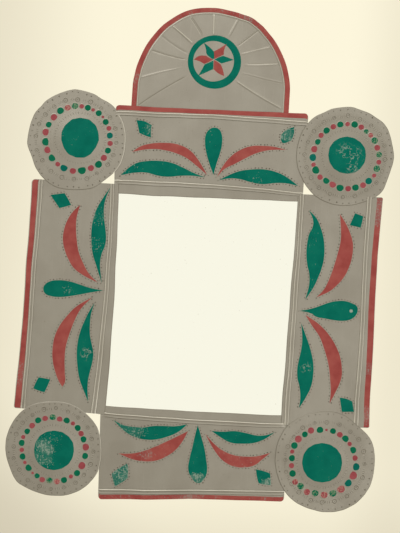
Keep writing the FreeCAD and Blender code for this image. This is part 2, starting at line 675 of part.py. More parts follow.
def make_crest_solder():
    """Bars under the crest's foot and at both ends of each brace."""
    bars = []
    for out in (-1, 1):
        bars.append(add_fillet(f"crest_foot_solder_{out + 1}", "sizes.crest_solder_long", "sizes.solder_leg",
                               "2 * sizes.tin", Z_WAY * -1, Y_WAY,
                               (f"{out} * sizes.crest_solder_out", f"-{CAP_BACK}", CREST_FOOT)))
        bars.append(add_fillet(f"brace_low_solder_{out + 1}", "sizes.brace_wide", "sizes.solder_leg",
                               "sizes.tin", Z_WAY * -1, Y_WAY,
                               (f"{out} * sizes.brace_out", f"-{CAP_BACK}", BRACE_LOW)))
        bars.append(add_fillet(f"brace_high_solder_{out + 1}", "sizes.brace_wide", "sizes.solder_leg",
                               "sizes.tin", Z_WAY, Y_WAY,
                               (f"{out} * sizes.brace_out", f"-{CREST_BACK}", BRACE_HIGH)))
    group("crest_solder", bars)


def make_hanger_solder():
    """One bar under the strap's legs and one down each side of them."""
    leg_middle = f"{BAR_UP} - sizes.strap_leg + sizes.strap_solder_long / 2"
    bars = [add_fillet("strap_foot_solder", "sizes.strap_wide", "sizes.solder_leg", "2 * sizes.tin",
                       Z_WAY * -1, Y_WAY, ("0 * sizes.tin", f"-{CREST_BACK}", f"{BAR_UP} - sizes.strap_leg"))]
    for out in (-1, 1):
        bars.append(add_fillet(f"strap_side_solder_{out + 1}", "sizes.strap_solder_long", "sizes.solder_leg",
                               "2 * sizes.tin", X_WAY * out, Y_WAY,
                               (f"{out} * sizes.strap_wide / 2", f"-{CREST_BACK}", leg_middle)))
    group("hanger_solder", bars)


make_disc_solder()
make_lap_solder()
make_channel_solder()
make_crest_solder()
make_hanger_solder()

doc.recompute()

for item in doc.Objects:
    if "Invalid" in item.State or "Error" in item.State:
        raise RuntimeError(f"{item.Label} did not build: {item.State}")

pieces = [item for item in doc.Objects if item.TypeId == "PartDesign::Body"]
pieces += [item for item in doc.Objects if item.TypeId in ("Part::MultiFuse", "Part::Compound")]
for piece in pieces:
    if piece.Shape.isNull() or not piece.Shape.isValid():
        raise RuntimeError(f"{piece.Label} has no sound shape")
    piece.Shape.exportStep(f"parts/{piece.Label}.step")
    box = piece.Shape.BoundBox
    print(f"{piece.Label}: {len(piece.Shape.Solids)} solids, {piece.Shape.Volume:.1f} mm3")
    print(f"  from {box.XMin:.2f}, {box.YMin:.2f}, {box.ZMin:.2f}")
    print(f"  to {box.XMax:.2f}, {box.YMax:.2f}, {box.ZMax:.2f}")
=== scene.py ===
import math
import random

import bmesh
import bpy
from mathutils import Matrix, Vector, noise
from mathutils.geometry import interpolate_bezier


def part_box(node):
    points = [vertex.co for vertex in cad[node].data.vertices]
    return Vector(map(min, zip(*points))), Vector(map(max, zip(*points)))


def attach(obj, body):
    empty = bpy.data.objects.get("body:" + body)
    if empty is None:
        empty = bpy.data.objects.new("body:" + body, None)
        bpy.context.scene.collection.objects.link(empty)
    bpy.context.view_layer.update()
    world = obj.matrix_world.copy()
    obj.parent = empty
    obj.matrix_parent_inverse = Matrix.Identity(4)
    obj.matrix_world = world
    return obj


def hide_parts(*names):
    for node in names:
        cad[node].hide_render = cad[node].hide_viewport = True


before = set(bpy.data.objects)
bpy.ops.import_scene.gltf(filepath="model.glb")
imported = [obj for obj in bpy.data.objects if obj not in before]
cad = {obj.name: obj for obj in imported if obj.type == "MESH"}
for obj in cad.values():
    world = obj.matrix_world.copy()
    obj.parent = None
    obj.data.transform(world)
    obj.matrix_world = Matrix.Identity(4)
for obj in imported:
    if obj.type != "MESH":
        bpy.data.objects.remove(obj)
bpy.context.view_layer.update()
bpy.ops.object.select_all(action="DESELECT")


# Tinplate. Soft sheet iron dipped in tin, 0.4 mm thick, gone grey with age. Every sheet of the
# frame is cut from it: dull and faintly blotched, with painted highlights on the lit sides of edges,
# beads and creases and painted shade on the others, partly standing for rubbing and dirt.
class Shade:
    """One value of a material. Arithmetic on it adds the Math nodes."""

    def __init__(self, tree, socket=None):
        self.tree = tree
        self.socket = socket

    def node(self, kind, inlets=None, outlet=0, **settings):
        made = self.tree.nodes.new("ShaderNode" + kind)
        for name, value in settings.items():
            setattr(made, name, value)
        for place, value in (inlets or {}).items():
            if isinstance(value, Shade):
                self.tree.links.new(value.socket, made.inputs[place])
            else:
                made.inputs[place].default_value = value
        return Shade(self.tree, made.outputs[outlet])

    def __add__(self, other):
        return self.node("Math", {0: self, 1: other}, operation="ADD")

    def __sub__(self, other):
        return self.node("Math", {0: self, 1: other}, operation="SUBTRACT")

    def __rsub__(self, other):
        return self.node("Math", {0: other, 1: self}, operation="SUBTRACT")

    def __mul__(self, other):
        return self.node("Math", {0: self, 1: other}, operation="MULTIPLY")

    __radd__ = __add__
    __rmul__ = __mul__

    def rise(self, low, high):
        """0 at low, 1 at high, with a soft start and end."""
        return self.node("MapRange", {0: self, 1: low, 2: high}, interpolation_type="SMOOTHSTEP")

    def tint(self, under, over):
        """The colour under, turned to over where this value is 1."""
        return self.node("Mix", {0: self, 6: under, 7: over}, outlet=2, data_type="RGBA")

    def cloud(self, size, detail=3.0, rough=0.5):
        """Soft noise on this place, with patches about size metres across."""
        inlets = {"Vector": self, "Scale": 1 / size, "Detail": detail, "Roughness": rough}
        return self.node("TexNoise", inlets)

    def squeezed(self, turn, scale):
        """This place, turned about Y and scaled, for marks that run one way."""
        inlets = {"Vector": self, "Rotation": (0, math.radians(turn), 0), "Scale": scale}
        return self.node("Mapping", inlets)

    def near(self, x, z, reach):
        """1 at an X and Z, 0 beyond reach; all in metres."""
        flat = self.squeezed(0, (1, 0, 1))
        away = flat.node("VectorMath", {0: flat, 1: (x, 0, z)}, outlet=1, operation="DISTANCE")
        return 1 - away.rise(reach * 0.45, reach)


def colour(red, green, blue):
    """A screen colour, 0 to 255, as Blender's linear one."""
    parts = [c / 255 for c in (red, green, blue)]
    return (*[c / 12.92 if c < 0.04045 else ((c + 0.055) / 1.055) ** 2.4 for c in parts], 1)


def finish(name, metallic, make, gloss=0.5):
    """A material: make(place) gives its Base Color, Roughness, bump height and bump depth."""
    material = bpy.data.materials.new(name)
    material.use_nodes = True
    tree = material.node_tree
    skin = tree.nodes["Principled BSDF"]
    place = Shade(tree).node("TexCoord", outlet="Object")
    base, roughness, height, depth = make(place)
    skin.inputs["Metallic"].default_value = metallic
    skin.inputs["Specular IOR Level"].default_value = gloss
    if height is not None:
        normal = place.node("Bump", {"Strength": 1, "Distance": depth, "Height": height})
        tree.links.new(normal.socket, skin.inputs["Normal"])
    tree.links.new(base.socket, skin.inputs["Base Color"])
    tree.links.new(roughness.socket, skin.inputs["Roughness"])
    return material


TIN = colour(145, 140, 131)
TIN_PALE = colour(158, 153, 144)
TIN_DULL = colour(137, 131, 121)
TIN_RUST = colour(112, 92, 68)
# Painted highlight and painted shade, which partly stand for rubbed tin and dirt.
TIN_HIGHLIGHT_AND_RUB = colour(190, 185, 174)
TIN_GRIME_AND_SHADE = colour(108, 102, 88)


def tin_look(place):
    """Colour, roughness and surface of old tinplate, with its painted highlights and shade."""
    patch = place.cloud(0.05, 4).rise(0.3, 0.72)
    smear = place.squeezed(25, (1, 1, 0.45)).cloud(0.016, 5, 0.6).rise(0.35, 0.75)
    speck = place.cloud(0.0016, 1).rise(0.74, 0.8) * place.cloud(0.03).rise(0.45, 0.6)
    hair = place.squeezed(64, (1, 1, 0.03)).cloud(0.0011, 1).rise(0.66, 0.72)
    # A value on the mesh paints light on the tin: a painted highlight above 0 and painted shade below 0,
    # partly standing for rubbing and dirt.
    light_and_rub = place.node("Attribute", outlet="Fac", attribute_name="rubbed")
    base = (patch * 0.6).tint(TIN, TIN_DULL)
    base = (smear * 0.25).tint(base, TIN_PALE)
    base = (hair * 0.2).tint(base, TIN_PALE)
    base = (speck * 0.6).tint(base, TIN_RUST)
    base = (light_and_rub.rise(0.1, 1.0) * 0.9).tint(base, TIN_HIGHLIGHT_AND_RUB)
    base = ((light_and_rub * -1).rise(0.1, 1.0) * 0.85).tint(base, TIN_GRIME_AND_SHADE)
    roughness = patch * 0.14 + smear * 0.06 + speck * 0.2 + 0.42
    dents = place.cloud(0.03, 2) * 0.5 + place.cloud(0.0025, 2) * 0.06 + hair * 0.02
    return base, roughness, dents, 0.0004


tinplate = finish("aged tinplate", 0.8, tin_look)


# Panels. Four strips of tinplate. The outer edge of each is folded behind as a hem, a bead with
# two ridges is run beside the hem and another beside the opening; they were cut by hand, so no
# edge is quite straight. The side panels lap over the inner strips of the top and bottom ones.
MM = 0.001
SHEET = 0.4
HEM = 5.8
BEAD_HIGH = 1.25
BEAD_ROOM = 3.4  # from the middle of a bead to the flat field
LIP_ROOM = 3.2  # and to the flat edge at the opening
BEAD_FADE = 2  # the length in which a bead dies away
CORNER_PULL = 12  # how far in a rounded corner still moves the sheet
HAND_SWAY = 0.5  # how far a cut edge sways, about SWAY_WAVES times a panel
SWAY_WAVES = 7
SIGHT_SWAY = 1.6  # as many times further at the opening
MIDDLE_STEPS = 26

# For each: front of the sheet, then start, middle and end of its outer edge, of the bead beside the
# opening and of its edge at the opening, as X and Z; how far the outer edge wanders out; the outer
# bead's distance from that edge at the panel's start, middle and end; where the painted band starts,
# and its inner edge at those three; the radius of its two outer corners; how far each bead stops
# short of the panel's ends, or 0; 1 where the side of a bead towards the outer edge is the lit one;
# and how strong the painted highlight is on the ridge on the shaded side, as a share.
PANELS = {
    "left_panel": {
        "front": -4.9,
        "lines": (((-199.1, -126.3), (-195.4, 0.0), (-194.0, 126.4)),
                  ((-111.8, -127.0), (-105.0, 0.0), (-105.2, 126.4)),
                  ((-98.4, -127.6), (-96.0, 0.0), (-98.6, 126.3))),
        "wander": (0, 0, -0.5, -0.9, -0.1, 0.3, 0.1, 0.1, 0.5),
        "bead": (10.6, 8.8, 10.3),
        "band": (0.9, (7.6, 5.9, 7.2)),
        "corners": (2.5, 4.4),
        "beads_end": ((4.5, 0.0), (0.0, 0.0)),
        "lit": 1,
        "second": 1.0,
    },
    "right_panel": {
        "front": -4.9,
        "lines": (((192.6, -124.6), (191.2, 1.0), (192.7, 129.6)),
                  ((101.2, -126.6), (103.0, 1.0), (103.6, 127.6)),
                  ((94.9, -127.1), (97.3, 1.0), (99.3, 127.4))),
        "wander": (0, 0, 0.3, 0.8, 0, -0.2, -1.1, -0.5, 0.1),
        "bead": (14.2, 12.7, 14.6),
        "band": (0.4, (6.0, 7.1, 6.3)),
        "corners": (2.0, 1.8),
        "beads_end": ((8.5, 0.0), (0.0, 0.0)),
        "lit": -1,
        "second": 1.0,
    },
    "top_panel": {
        "front": -4.5,
        "lines": (((-107.2, 213.0), (0.0, 214.2), (105.0, 216.6)),
                  ((-103.6, 128.3), (0.0, 129.9), (104.4, 126.6)),
                  ((-103.4, 115.6), (0.0, 117.0), (104.2, 119.4))),
        "wander": (0, 0),
        "bead": (8.8, 7.6, 10.4),
        "band": (-0.05, (5.1, 4.7, 5.1)),
        "corners": (4.2, 4.2),
        "beads_end": ((0.0, 0.0), (3.5, 3.5)),
        "lit": 1,
        "second": 0.55,
    },
    "bottom_panel": {
        "front": -4.5,
        "lines": (((-100.2, -220.7), (0.0, -215.0), (104.0, -211.3)),
                  ((-103.4, -127.2), (0.0, -129.3), (103.0, -127.4)),
                  ((-103.6, -117.6), (0.0, -118.2), (103.4, -116.2))),
        "wander": (0.3, 0, 0.9, 0.5, -0.6, -0.2, 0, -0.5, 0),
        "bead": (7.9, 7.8, 9.6),
        "band": (-0.05, (4.6, 4.9, 4.9)),
        "corners": (4.2, 4.2),
        "beads_end": ((0.0, 0.0), (3.5, 3.5)),
        "lit": -1,
        "second": 0.55,
    },
}


def through(points, share):
    """The point at share, 0 to 1, of the curve through a start, a middle and an end."""
    start, middle, end = (Vector(p) for p in points)
    bow = middle * (4 * share * (1 - share))
    return start * ((1 - share) * (1 - 2 * share)) + bow + end * (share * (2 * share - 1))


def swell(values, share):
    """The value at share, 0 to 1, along evenly spaced values."""
    place = min(share, 0.9999) * (len(values) - 1)
    before, after = values[int(place)], values[int(place) + 1]
    return before + (after - before) * (place % 1)


def panel_widths(panel):
    """How far the lip bead and the opening lie from the outer edge, at half length."""
    outer, lip, sight = (Vector(line[1]) for line in panel["lines"])
    return (lip - outer).length, (sight - outer).length


# Across a bead, from its lit side: distance from its middle, height as a share, and painted light and shade.
BEAD_ROWS = (
    (-2.8, 0.0, 0.0), (-2.55, 0.45, 0.7), (-2.25, 0.8, 1.0), (-1.7, 1.0, 1.0), (-1.3, 0.92, 0.35),
    (-0.85, 0.74, -0.5), (0.2, 0.72, -0.35), (0.9, 0.75, 0.0), (1.4, 0.82, 0.7), (2.05, 0.82, 0.8),
    (2.3, 0.5, 0.3), (2.45, 0.05, -0.4), (2.6, 0.0, -0.4), (2.8, 0.0, 0.0),
)


def bead_rows(centre, kind, panel):
    """Points across one bead: distance from the outer edge, depth, which bead, and painted light and shade.
    """
    lit, rows = panel["lit"], []
    for beside, height, rubbing_and_shading in BEAD_ROWS:
        rubbing_and_shading *= panel["second"] if beside > 1 and rubbing_and_shading > 0 else 1
        rows.append((centre + lit * beside, -height * BEAD_HIGH, kind, rubbing_and_shading))
    return rows[::lit]


def panel_outline(panel):
    """The sheet's cross-section as a closed loop: distance from the outer edge, depth, the hand-cut
    line that the point follows, and its painted light and shade."""
    lip, sight = panel_widths(panel)
    outer, band = panel["bead"][1], panel["band"][1][1]
    field = [(outer + BEAD_ROOM, 0, "outer", 0), (lip - BEAD_ROOM, 0, "lip", 0)]
    beads = bead_rows(outer, "outer", panel) + field + bead_rows(lip, "lip", panel)
    beads.append((lip + LIP_ROOM, 0, "lip", 0))
    # The hem's fold gets a painted highlight, and the edge at the opening a painted shadow line.
    fold = [(0, 0.4, "", 0), (0.1, 0.14, "", 1), (0.36, 0, "", 1), (0.6, 0, "", 0)]
    step = [(band - 0.2, 0, "band", 0), (band + 0.1, 0, "band", 0.1)]
    edge = [(sight - 0.9, 0, "", 0), (sight - 0.5, 0, "", -0.7), (sight - 0.15, 0, "", -0.8)]
    edge += [(sight, 0.1, "", -0.8), (sight, 0.34, "", 0), (sight - 0.1, SHEET, "", 0)]
    behind = [(across, depth + SHEET, kind, 0) for across, depth, kind, rubbing_and_shading in reversed(beads)]
    hem = [(HEM, SHEET, "", 0), (HEM, 2 * SHEET, "", 0), (0.36, 2 * SHEET, "", 0), (0.1, 0.66, "", 0)]
    return fold + step + beads + edge + behind + hem


def newest(name):
    """The object that was just added, under its name."""
    piece = bpy.context.object
    piece.name = name
    return piece


def open_mesh():
    """Into edit mode, with all of the mesh selected."""
    bpy.ops.object.mode_set(mode="EDIT")
    bpy.ops.mesh.select_all(action="SELECT")


def draw_out(name, outline, stations):
    """A filled outline, extruded through the stations along Z."""
    bpy.ops.mesh.primitive_circle_add(vertices=len(outline), fill_type="NGON")
    strip = newest(name)
    for vertex, point in zip(strip.data.vertices, outline):
        vertex.co = (*point[:2], stations[0])
    open_mesh()
    for here, there in zip(stations, stations[1:]):
        bpy.ops.mesh.extrude_region_move(TRANSFORM_OT_translate={"value": (0, 0, there - here)})
    bpy.ops.object.mode_set(mode="OBJECT")
    return strip


def corner_inset(from_end, radius):
    """How far a rounded corner pulls the edge in, at a distance from the end."""
    short = min(radius, max(0.0, radius - from_end))
    return radius - math.sqrt(radius * radius - short * short)


def lay_on_panel(strip, outline, panel, length):
    """Bends a drawn-out strip to its panel's hand-cut lines, in metres."""
    lip, sight = panel_widths(panel)
    outer_line, lip_line, sight_line = panel["lines"]
    outer_ends, lip_ends = panel["beads_end"]
    for index, vertex in enumerate(strip.data.vertices):
        across, depth, along = vertex.co
        kind = outline[index % len(outline)][2]
        share = along / length
        from_ends = (along, length - along)
        if kind == "band":
            across += swell(panel["band"][1], share) - panel["band"][1][1]
        if kind == "outer":
            across += swell(panel["bead"], share) - panel["bead"][1]
        if kind in ("outer", "lip"):
            stops = outer_ends if kind == "outer" else lip_ends
            rooms = [gap - stop for gap, stop in zip(from_ends, stops) if stop]
            fade = min([1] + [max(0, room / BEAD_FADE) for room in rooms])
            base = SHEET if index % len(outline) > len(outline) / 2 else 0
            depth = base + (depth - base) * fade
        inset = corner_inset(min(from_ends), panel["corners"][int(share > 0.5)])
        if across < CORNER_PULL:
            across = inset + across * (1 - inset / CORNER_PULL)
        sway = noise.noise(Vector((share * SWAY_WAVES, outer_line[0][0], 0))) * HAND_SWAY
        if across < lip:
            sway += swell(panel["wander"], share) * (1 - across / lip)
            spot = through(outer_line, share).lerp(through(lip_line, share), across / lip)
        else:
            sway *= SIGHT_SWAY
            spot = through(lip_line, share).lerp(through(sight_line, share), (across - lip) / (sight - lip))
        spot += (through(outer_line, 0.5) - through(sight_line, 0.5)).normalized() * sway
        vertex.co = Vector((spot.x, panel["front"] + depth, spot.y)) * MM


def light_and_rub(piece, amounts):
    """Marks each vertex with painted light, 1 for a highlight and -1 for shade, partly standing for rubbing
    and dirt.
    """
    layer = piece.data.attributes.new("rubbed", "FLOAT", "POINT")
    for value, amount in zip(layer.data, amounts):
        value.value = amount


def close_up(piece, angle):
    """Merges doubles, turns every face outwards and shades smooth up to an angle."""
    bpy.ops.object.select_all(action="DESELECT")
    piece.select_set(True)
    bpy.context.view_layer.objects.active = piece
    open_mesh()
    bpy.ops.mesh.remove_doubles(threshold=0.000004)
    bpy.ops.mesh.normals_make_consistent(inside=False)
    bpy.ops.object.mode_set(mode="OBJECT")
    bpy.ops.object.shade_smooth_by_angle(angle=math.radians(angle))
    bpy.ops.object.select_all(action="DESELECT")


def dress(piece, material):
    """Gives a piece of the frame its material, and puts it under the frame's body."""
    piece.data.materials.clear()
    piece.data.materials.append(material)
    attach(piece, "frame")


def stations_for(length, margin=0.0):
    """Distances along a panel, close together at its rounded ends."""
    near = [margin + s for s in (0, 0.15, 0.5, 1.1, 2.0, 3.1, 4.4, 7.5)]
    middle = [near[-1] + (length - 2 * near[-1]) * k / MIDDLE_STEPS for k in range(1, MIDDLE_STEPS)]
    return near + middle + [length - s for s in reversed(near)]


panel_lengths = {}
for name, panel in PANELS.items():
    ends = panel["lines"][0]
    length = (Vector(ends[2]) - Vector(ends[0])).length
    panel_lengths[name] = length
    outline = panel_outline(panel)
    strip = draw_out(name + "_sheet", outline, stations_for(length))
    lay_on_panel(strip, outline, panel, length)
    light_and_rub(strip, [outline[k % len(outline)][3] for k in range(len(strip.data.vertices))])
    close_up(strip, 50)
    dress(strip, tinplate)
    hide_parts(name)


# Painted hems. Red enamel brushed along the folded edge of each panel; on the side panels it
# stops short of the fold. It has chipped in places, down to the tin.
RED = (colour(164, 80, 75), colour(178, 100, 90), colour(144, 62, 58))
RED_DOT = (colour(160, 78, 83), colour(172, 94, 97), colour(144, 60, 67))

BAND_SHORT = 0.7

# Places where the red is rubbed to a speckle: X and Z of the middle, its reach and how far worn.
RED_RUBBED = (
    (-0.193, -0.088, 0.020, 0.11),
    (0.192, 0.117, 0.030, 0.155),
    (0.1885, -0.0595, 0.012, 0.13),
    (0.187, -0.112, 0.018, 0.13),
    (-0.050, -0.2165, 0.085, 0.08),
    (0.045, -0.2135, 0.085, 0.07),
    (0.012, 0.323, 0.035, 0.09),
    (0.045, 0.310, 0.028, 0.08),
    (-0.040, 0.316, 0.025, 0.08),
    (-0.086, 0.235, 0.025, 0.1),
    (-0.0495, -0.1668, 0.010, 0.06),
)


def worn_enamel(place, paints, rubbed, sound, bare=TIN_PALE, cracked=()):
    """Brushed enamel, chipped in fine specks where it is rubbed, with pale hair cracks in places."""
    paint, light, deep = paints
    chips = place.cloud(0.0017, 3, 0.7)
    streaks = place.squeezed(40, (1, 1, 0.2)).cloud(0.0013, 2)
    thin = place.cloud(0.012, 2).rise(0.5, 0.7) * 0.03
    for x, z, reach, worn in rubbed:
        thin = thin + place.near(x, z, reach) * worn
    wear = (chips * 0.7 + streaks * 0.3 + thin).rise(sound, sound + 0.03)
    for x, z, reach in cracked:
        swirl = place.cloud(0.0062, 2, 0.6) - 0.5
        wear = wear + (1 - (swirl * swirl).rise(0.0, 0.0006)) * place.near(x, z, reach)
    wear = place.node("Clamp", {0: wear})
    shade = place.cloud(0.012, 4)
    base = (shade.rise(0.4, 0.7) * 0.5).tint(paint, light)
    base = ((1 - shade.rise(0.3, 0.5)) * 0.4).tint(base, deep)
    base = ((thin - 0.1) * 3).tint(base, bare)
    base = (wear * 0.58).tint(base, bare)
    roughness = wear * 0.15 + shade * 0.12 + 0.42
    return base, roughness, chips * 0.4 - wear * 1.2, 0.00004


red_enamel = finish("red enamel", 0.0, lambda p: worn_enamel(p, RED, RED_RUBBED, 0.66), 0.05)

for name, panel in PANELS.items():
    length = panel_lengths[name]
    start, (_, band, _) = panel["band"]
    edge = [(start, 0.02, ""), (start, -0.05, "")] if start > 0 else [(start, 0.3, ""), (start, 0.05, "")]
    flat = [(start + 0.35, -0.07, ""), (band - 0.2, -0.07, "band")]
    outline = edge + flat + [(band, -0.04, "band"), (band, 0.02, "band")]
    hem = draw_out(name + "_red_hem", outline, stations_for(length, BAND_SHORT))
    lay_on_panel(hem, outline, panel, length)
    close_up(hem, 50)
    dress(hem, red_enamel)


# Painted figures. Each panel has a drop between two crescents and two leaves, with a diamond
# near each outer corner: enamel laid thick inside a line of punched dots. Read from enlarged
# views of the photograph, one for each half or whole panel; a side starts at a sharp corner.
PIXEL = 1.1
TURN = math.radians(3.5)
OPENING_CENTRE = (201.2, 304.3)
TIP_NARROW = 1.8  # a tip is narrow where the two unit ways out to it add up to more than this
TIP_RUN = 0.7  # and the brush runs on from it by this times their sum
PAINT_HALF = 0.00003  # half the thickness of the paint, without its rounded rims
PAINT_ROUND = 0.00004


def on_object(x, y):
    """The object's X and Z, in millimetres, of a photograph pixel."""
    across, down = x - OPENING_CENTRE[0], y - OPENING_CENTRE[1]
    right = math.cos(TURN) * across + math.sin(TURN) * down
    fall = math.cos(TURN) * down - math.sin(TURN) * across
    return Vector((right * PIXEL, -fall * PIXEL))


def seen(points, corner, zoom):
    """The object's X and Z of points in an enlarged view, by its upper left pixel and its zoom."""
    return [on_object(*(Vector(corner) + Vector(p) / zoom)) for p in points]


# Each view's upper left photograph pixel and its zoom; then each figure's view, paint, name and
# sides, in pixels of that view.
VIEWS = {
    "top_panel": ((100, 100), 7.467),
    "left_panel": ((10, 175), 12.544),
    "left_panel_low": ((10, 290), 12.062),
    "right_panel": ((290, 175), 12.544),
    "right_panel_low": ((280, 290), 12.062),
    "bottom_panel": ((90, 395), 7.84),
}
FIGURES = (
    ("top_panel", "green", "drop", [[(847, 548), (815, 470), (793, 390), (784, 320), (790, 260), (815, 222),
        (853, 206), (890, 220), (910, 262), (912, 320), (898, 390), (872, 470)]]),
    ("top_panel", "green", "left_leaf", [[(162, 557), (210, 510), (270, 472), (350, 456), (450, 455),
        (530, 468), (620, 505), (700, 545)], [(774, 575), (690, 566), (600, 566), (500, 573), (420, 562),
        (350, 543), (260, 543)]]),
    ("top_panel", "green", "right_leaf", [[(897, 596), (960, 562), (1040, 532), (1130, 519), (1230, 519),
        (1320, 540), (1400, 580)], [(1471, 638), (1390, 622), (1310, 620), (1210, 628), (1120, 612),
        (1050, 592), (970, 585)]]),
    ("top_panel", "green", "left_diamond", [[(272, 150), (330, 158)], [(386, 188), (380, 230)], [(380, 280),
        (334, 264)], [(294, 245), (284, 196)]]),
    ("top_panel", "green", "right_diamond", [[(1450, 202), (1446, 260)], [(1428, 302), (1392, 318)],
        [(1363, 324), (1350, 290)], [(1352, 262), (1392, 222)]]),
    ("top_panel", "red", "left_crescent", [[(250, 383), (300, 348), (380, 326), (480, 320), (580, 332),
        (670, 375), (735, 450)], [(794, 553), (720, 490), (640, 430), (560, 395), (470, 372), (370, 366)]]),
    ("top_panel", "red", "right_crescent", [[(1380, 371), (1300, 350), (1220, 343), (1130, 345),
        (1050, 372), (980, 420), (920, 490)], [(879, 566), (930, 515), (1000, 480), (1080, 438),
        (1160, 400), (1240, 378), (1310, 371)]]),
    ("left_panel", "green", "drop", [[(1150, 1448), (1000, 1475), (870, 1500), (740, 1520), (620, 1530),
        (520, 1520), (445, 1490), (418, 1430), (435, 1380), (500, 1335), (610, 1320), (740, 1333),
        (870, 1372), (1000, 1415)]]),
    ("left_panel", "green", "upper_leaf", [[(1249, 176), (1160, 300), (1085, 430), (1040, 570), (1020, 720),
        (1022, 860), (1040, 1000), (1080, 1130)], [(1147, 1337), (1135, 1220), (1130, 1100), (1150, 990),
        (1190, 890), (1205, 790), (1195, 660), (1180, 540), (1178, 420), (1200, 300)]]),
    ("left_panel", "green", "upper_diamond", [[(510, 252), (600, 238)], [(686, 229), (728, 300)],
        [(767, 376), (690, 398)], [(620, 414), (562, 330)]]),
    ("left_panel", "red", "upper_crescent", [[(872, 388), (790, 460), (720, 570), (680, 680), (665, 820),
        (690, 950), (740, 1070), (800, 1165), (900, 1245)], [(1084, 1338), (985, 1230), (915, 1100),
        (860, 960), (838, 820), (828, 680), (835, 540)]]),
    ("left_panel_low", "green", "lower_leaf", [[(1012, 172), (960, 250), (900, 370), (855, 480), (820, 610),
        (805, 780), (815, 930), (835, 1060), (880, 1190)], [(938, 1326), (935, 1200), (940, 1100),
        (965, 980), (995, 860), (1005, 760), (985, 650), (965, 540), (965, 400), (980, 280)]]),
    ("left_panel_low", "green", "lower_diamond", [[(346, 1053), (420, 1066)], [(485, 1079), (452, 1158)],
        [(415, 1234), (345, 1212)], [(281, 1186), (310, 1118)]]),
    ("left_panel_low", "red", "lower_crescent", [[(974, 102), (800, 200), (690, 310), (600, 430),
        (540, 560), (515, 700), (515, 840), (545, 980), (590, 1100)], [(632, 1166), (660, 1120), (660, 980),
        (658, 850), (670, 700), (700, 580), (745, 450), (800, 320), (860, 220)]]),
    ("right_panel", "green", "upper_leaf", [[(248, 459), (330, 540), (385, 660), (420, 790), (432, 920),
        (425, 1050), (400, 1160), (360, 1270), (300, 1400)], [(198, 1548), (240, 1370), (240, 1240),
        (215, 1120), (205, 980), (215, 860), (240, 740), (285, 650), (290, 570)]]),
    ("right_panel", "green", "upper_diamond", [[(816, 480), (870, 500)], [(920, 520), (904, 592)],
        [(885, 662), (816, 644)], [(750, 631), (784, 552)]]),
    ("right_panel", "red", "upper_crescent", [[(632, 506), (700, 610), (750, 720), (785, 840), (788, 940),
        (770, 1060), (730, 1180), (670, 1290), (590, 1380), (500, 1455)], [(347, 1524), (430, 1430),
        (490, 1310), (550, 1150), (600, 980), (635, 830), (640, 690), (635, 600)]]),
    ("right_panel_low", "green", "drop", [[(256, 252), (380, 225), (500, 185), (600, 150), (700, 133),
        (800, 137), (870, 162), (925, 195), (937, 245), (910, 310), (850, 355), (760, 372), (660, 365),
        (550, 345), (430, 320), (380, 285)]]),
    ("right_panel_low", "green", "lower_leaf", [[(260, 416), (300, 520), (350, 660), (385, 790), (403, 910),
        (398, 1040), (375, 1160), (320, 1280)], [(234, 1410), (245, 1300), (235, 1170), (210, 1060),
        (210, 930), (230, 830), (255, 720), (268, 600)]]),
    ("right_panel_low", "green", "lower_diamond", [[(720, 1298), (800, 1312)], [(872, 1345), (882, 1410)],
        [(892, 1470), (820, 1470)], [(745, 1470), (734, 1390)]]),
    ("right_panel_low", "red", "lower_crescent", [[(318, 313), (420, 375), (520, 460), (610, 570),
        (680, 690), (730, 830), (745, 960), (745, 1020), (720, 1120), (670, 1230)], [(604, 1350),
        (612, 1220), (605, 1080), (590, 930), (560, 800), (520, 670), (470, 550), (400, 450)]]),
    ("bottom_panel", "green", "drop", [[(845, 247), (820, 330), (800, 420), (778, 510), (770, 580),
        (790, 640), (850, 690), (900, 650), (918, 590), (910, 500), (895, 410), (870, 320)]]),
    ("bottom_panel", "green", "left_leaf", [[(193, 203), (260, 235), (340, 250), (420, 254), (500, 243),
        (580, 243), (670, 245)], [(754, 234), (690, 290), (610, 325), (520, 348), (440, 350), (360, 332),
        (280, 290)]]),
    ("bottom_panel", "green", "right_leaf", [[(963, 286), (1050, 288), (1130, 283), (1220, 298),
        (1310, 318), (1380, 315)], [(1440, 296), (1370, 345), (1290, 375), (1200, 382), (1100, 372),
        (1030, 335)]]),
    ("bottom_panel", "green", "left_diamond", [[(292, 538), (298, 590)], [(295, 652), (250, 684)],
        [(195, 717), (182, 670)], [(170, 618), (225, 575)]]),
    ("bottom_panel", "green", "right_diamond", [[(1301, 583), (1360, 596)], [(1412, 615), (1416, 660)],
        [(1418, 707), (1370, 702)], [(1322, 692), (1308, 640)]]),
    ("bottom_panel", "red", "left_crescent", [[(235, 461), (320, 460), (400, 445), (500, 410), (600, 365),
        (690, 322)], [(762, 290), (720, 370), (670, 430), (600, 480), (520, 513), (440, 520), (350, 508)]]),
    ("bottom_panel", "red", "right_crescent", [[(911, 316), (970, 380), (1040, 435), (1120, 470),
        (1210, 483), (1310, 480)], [(1403, 459), (1350, 505), (1290, 550), (1210, 567), (1130, 560),
        (1050, 520), (980, 440)]]),
)

GREEN = (colour(2, 111, 94), colour(14, 120, 100), colour(0, 98, 83))
GREEN_DOT = (colour(8, 108, 78), colour(24, 118, 86), colour(4, 96, 68))

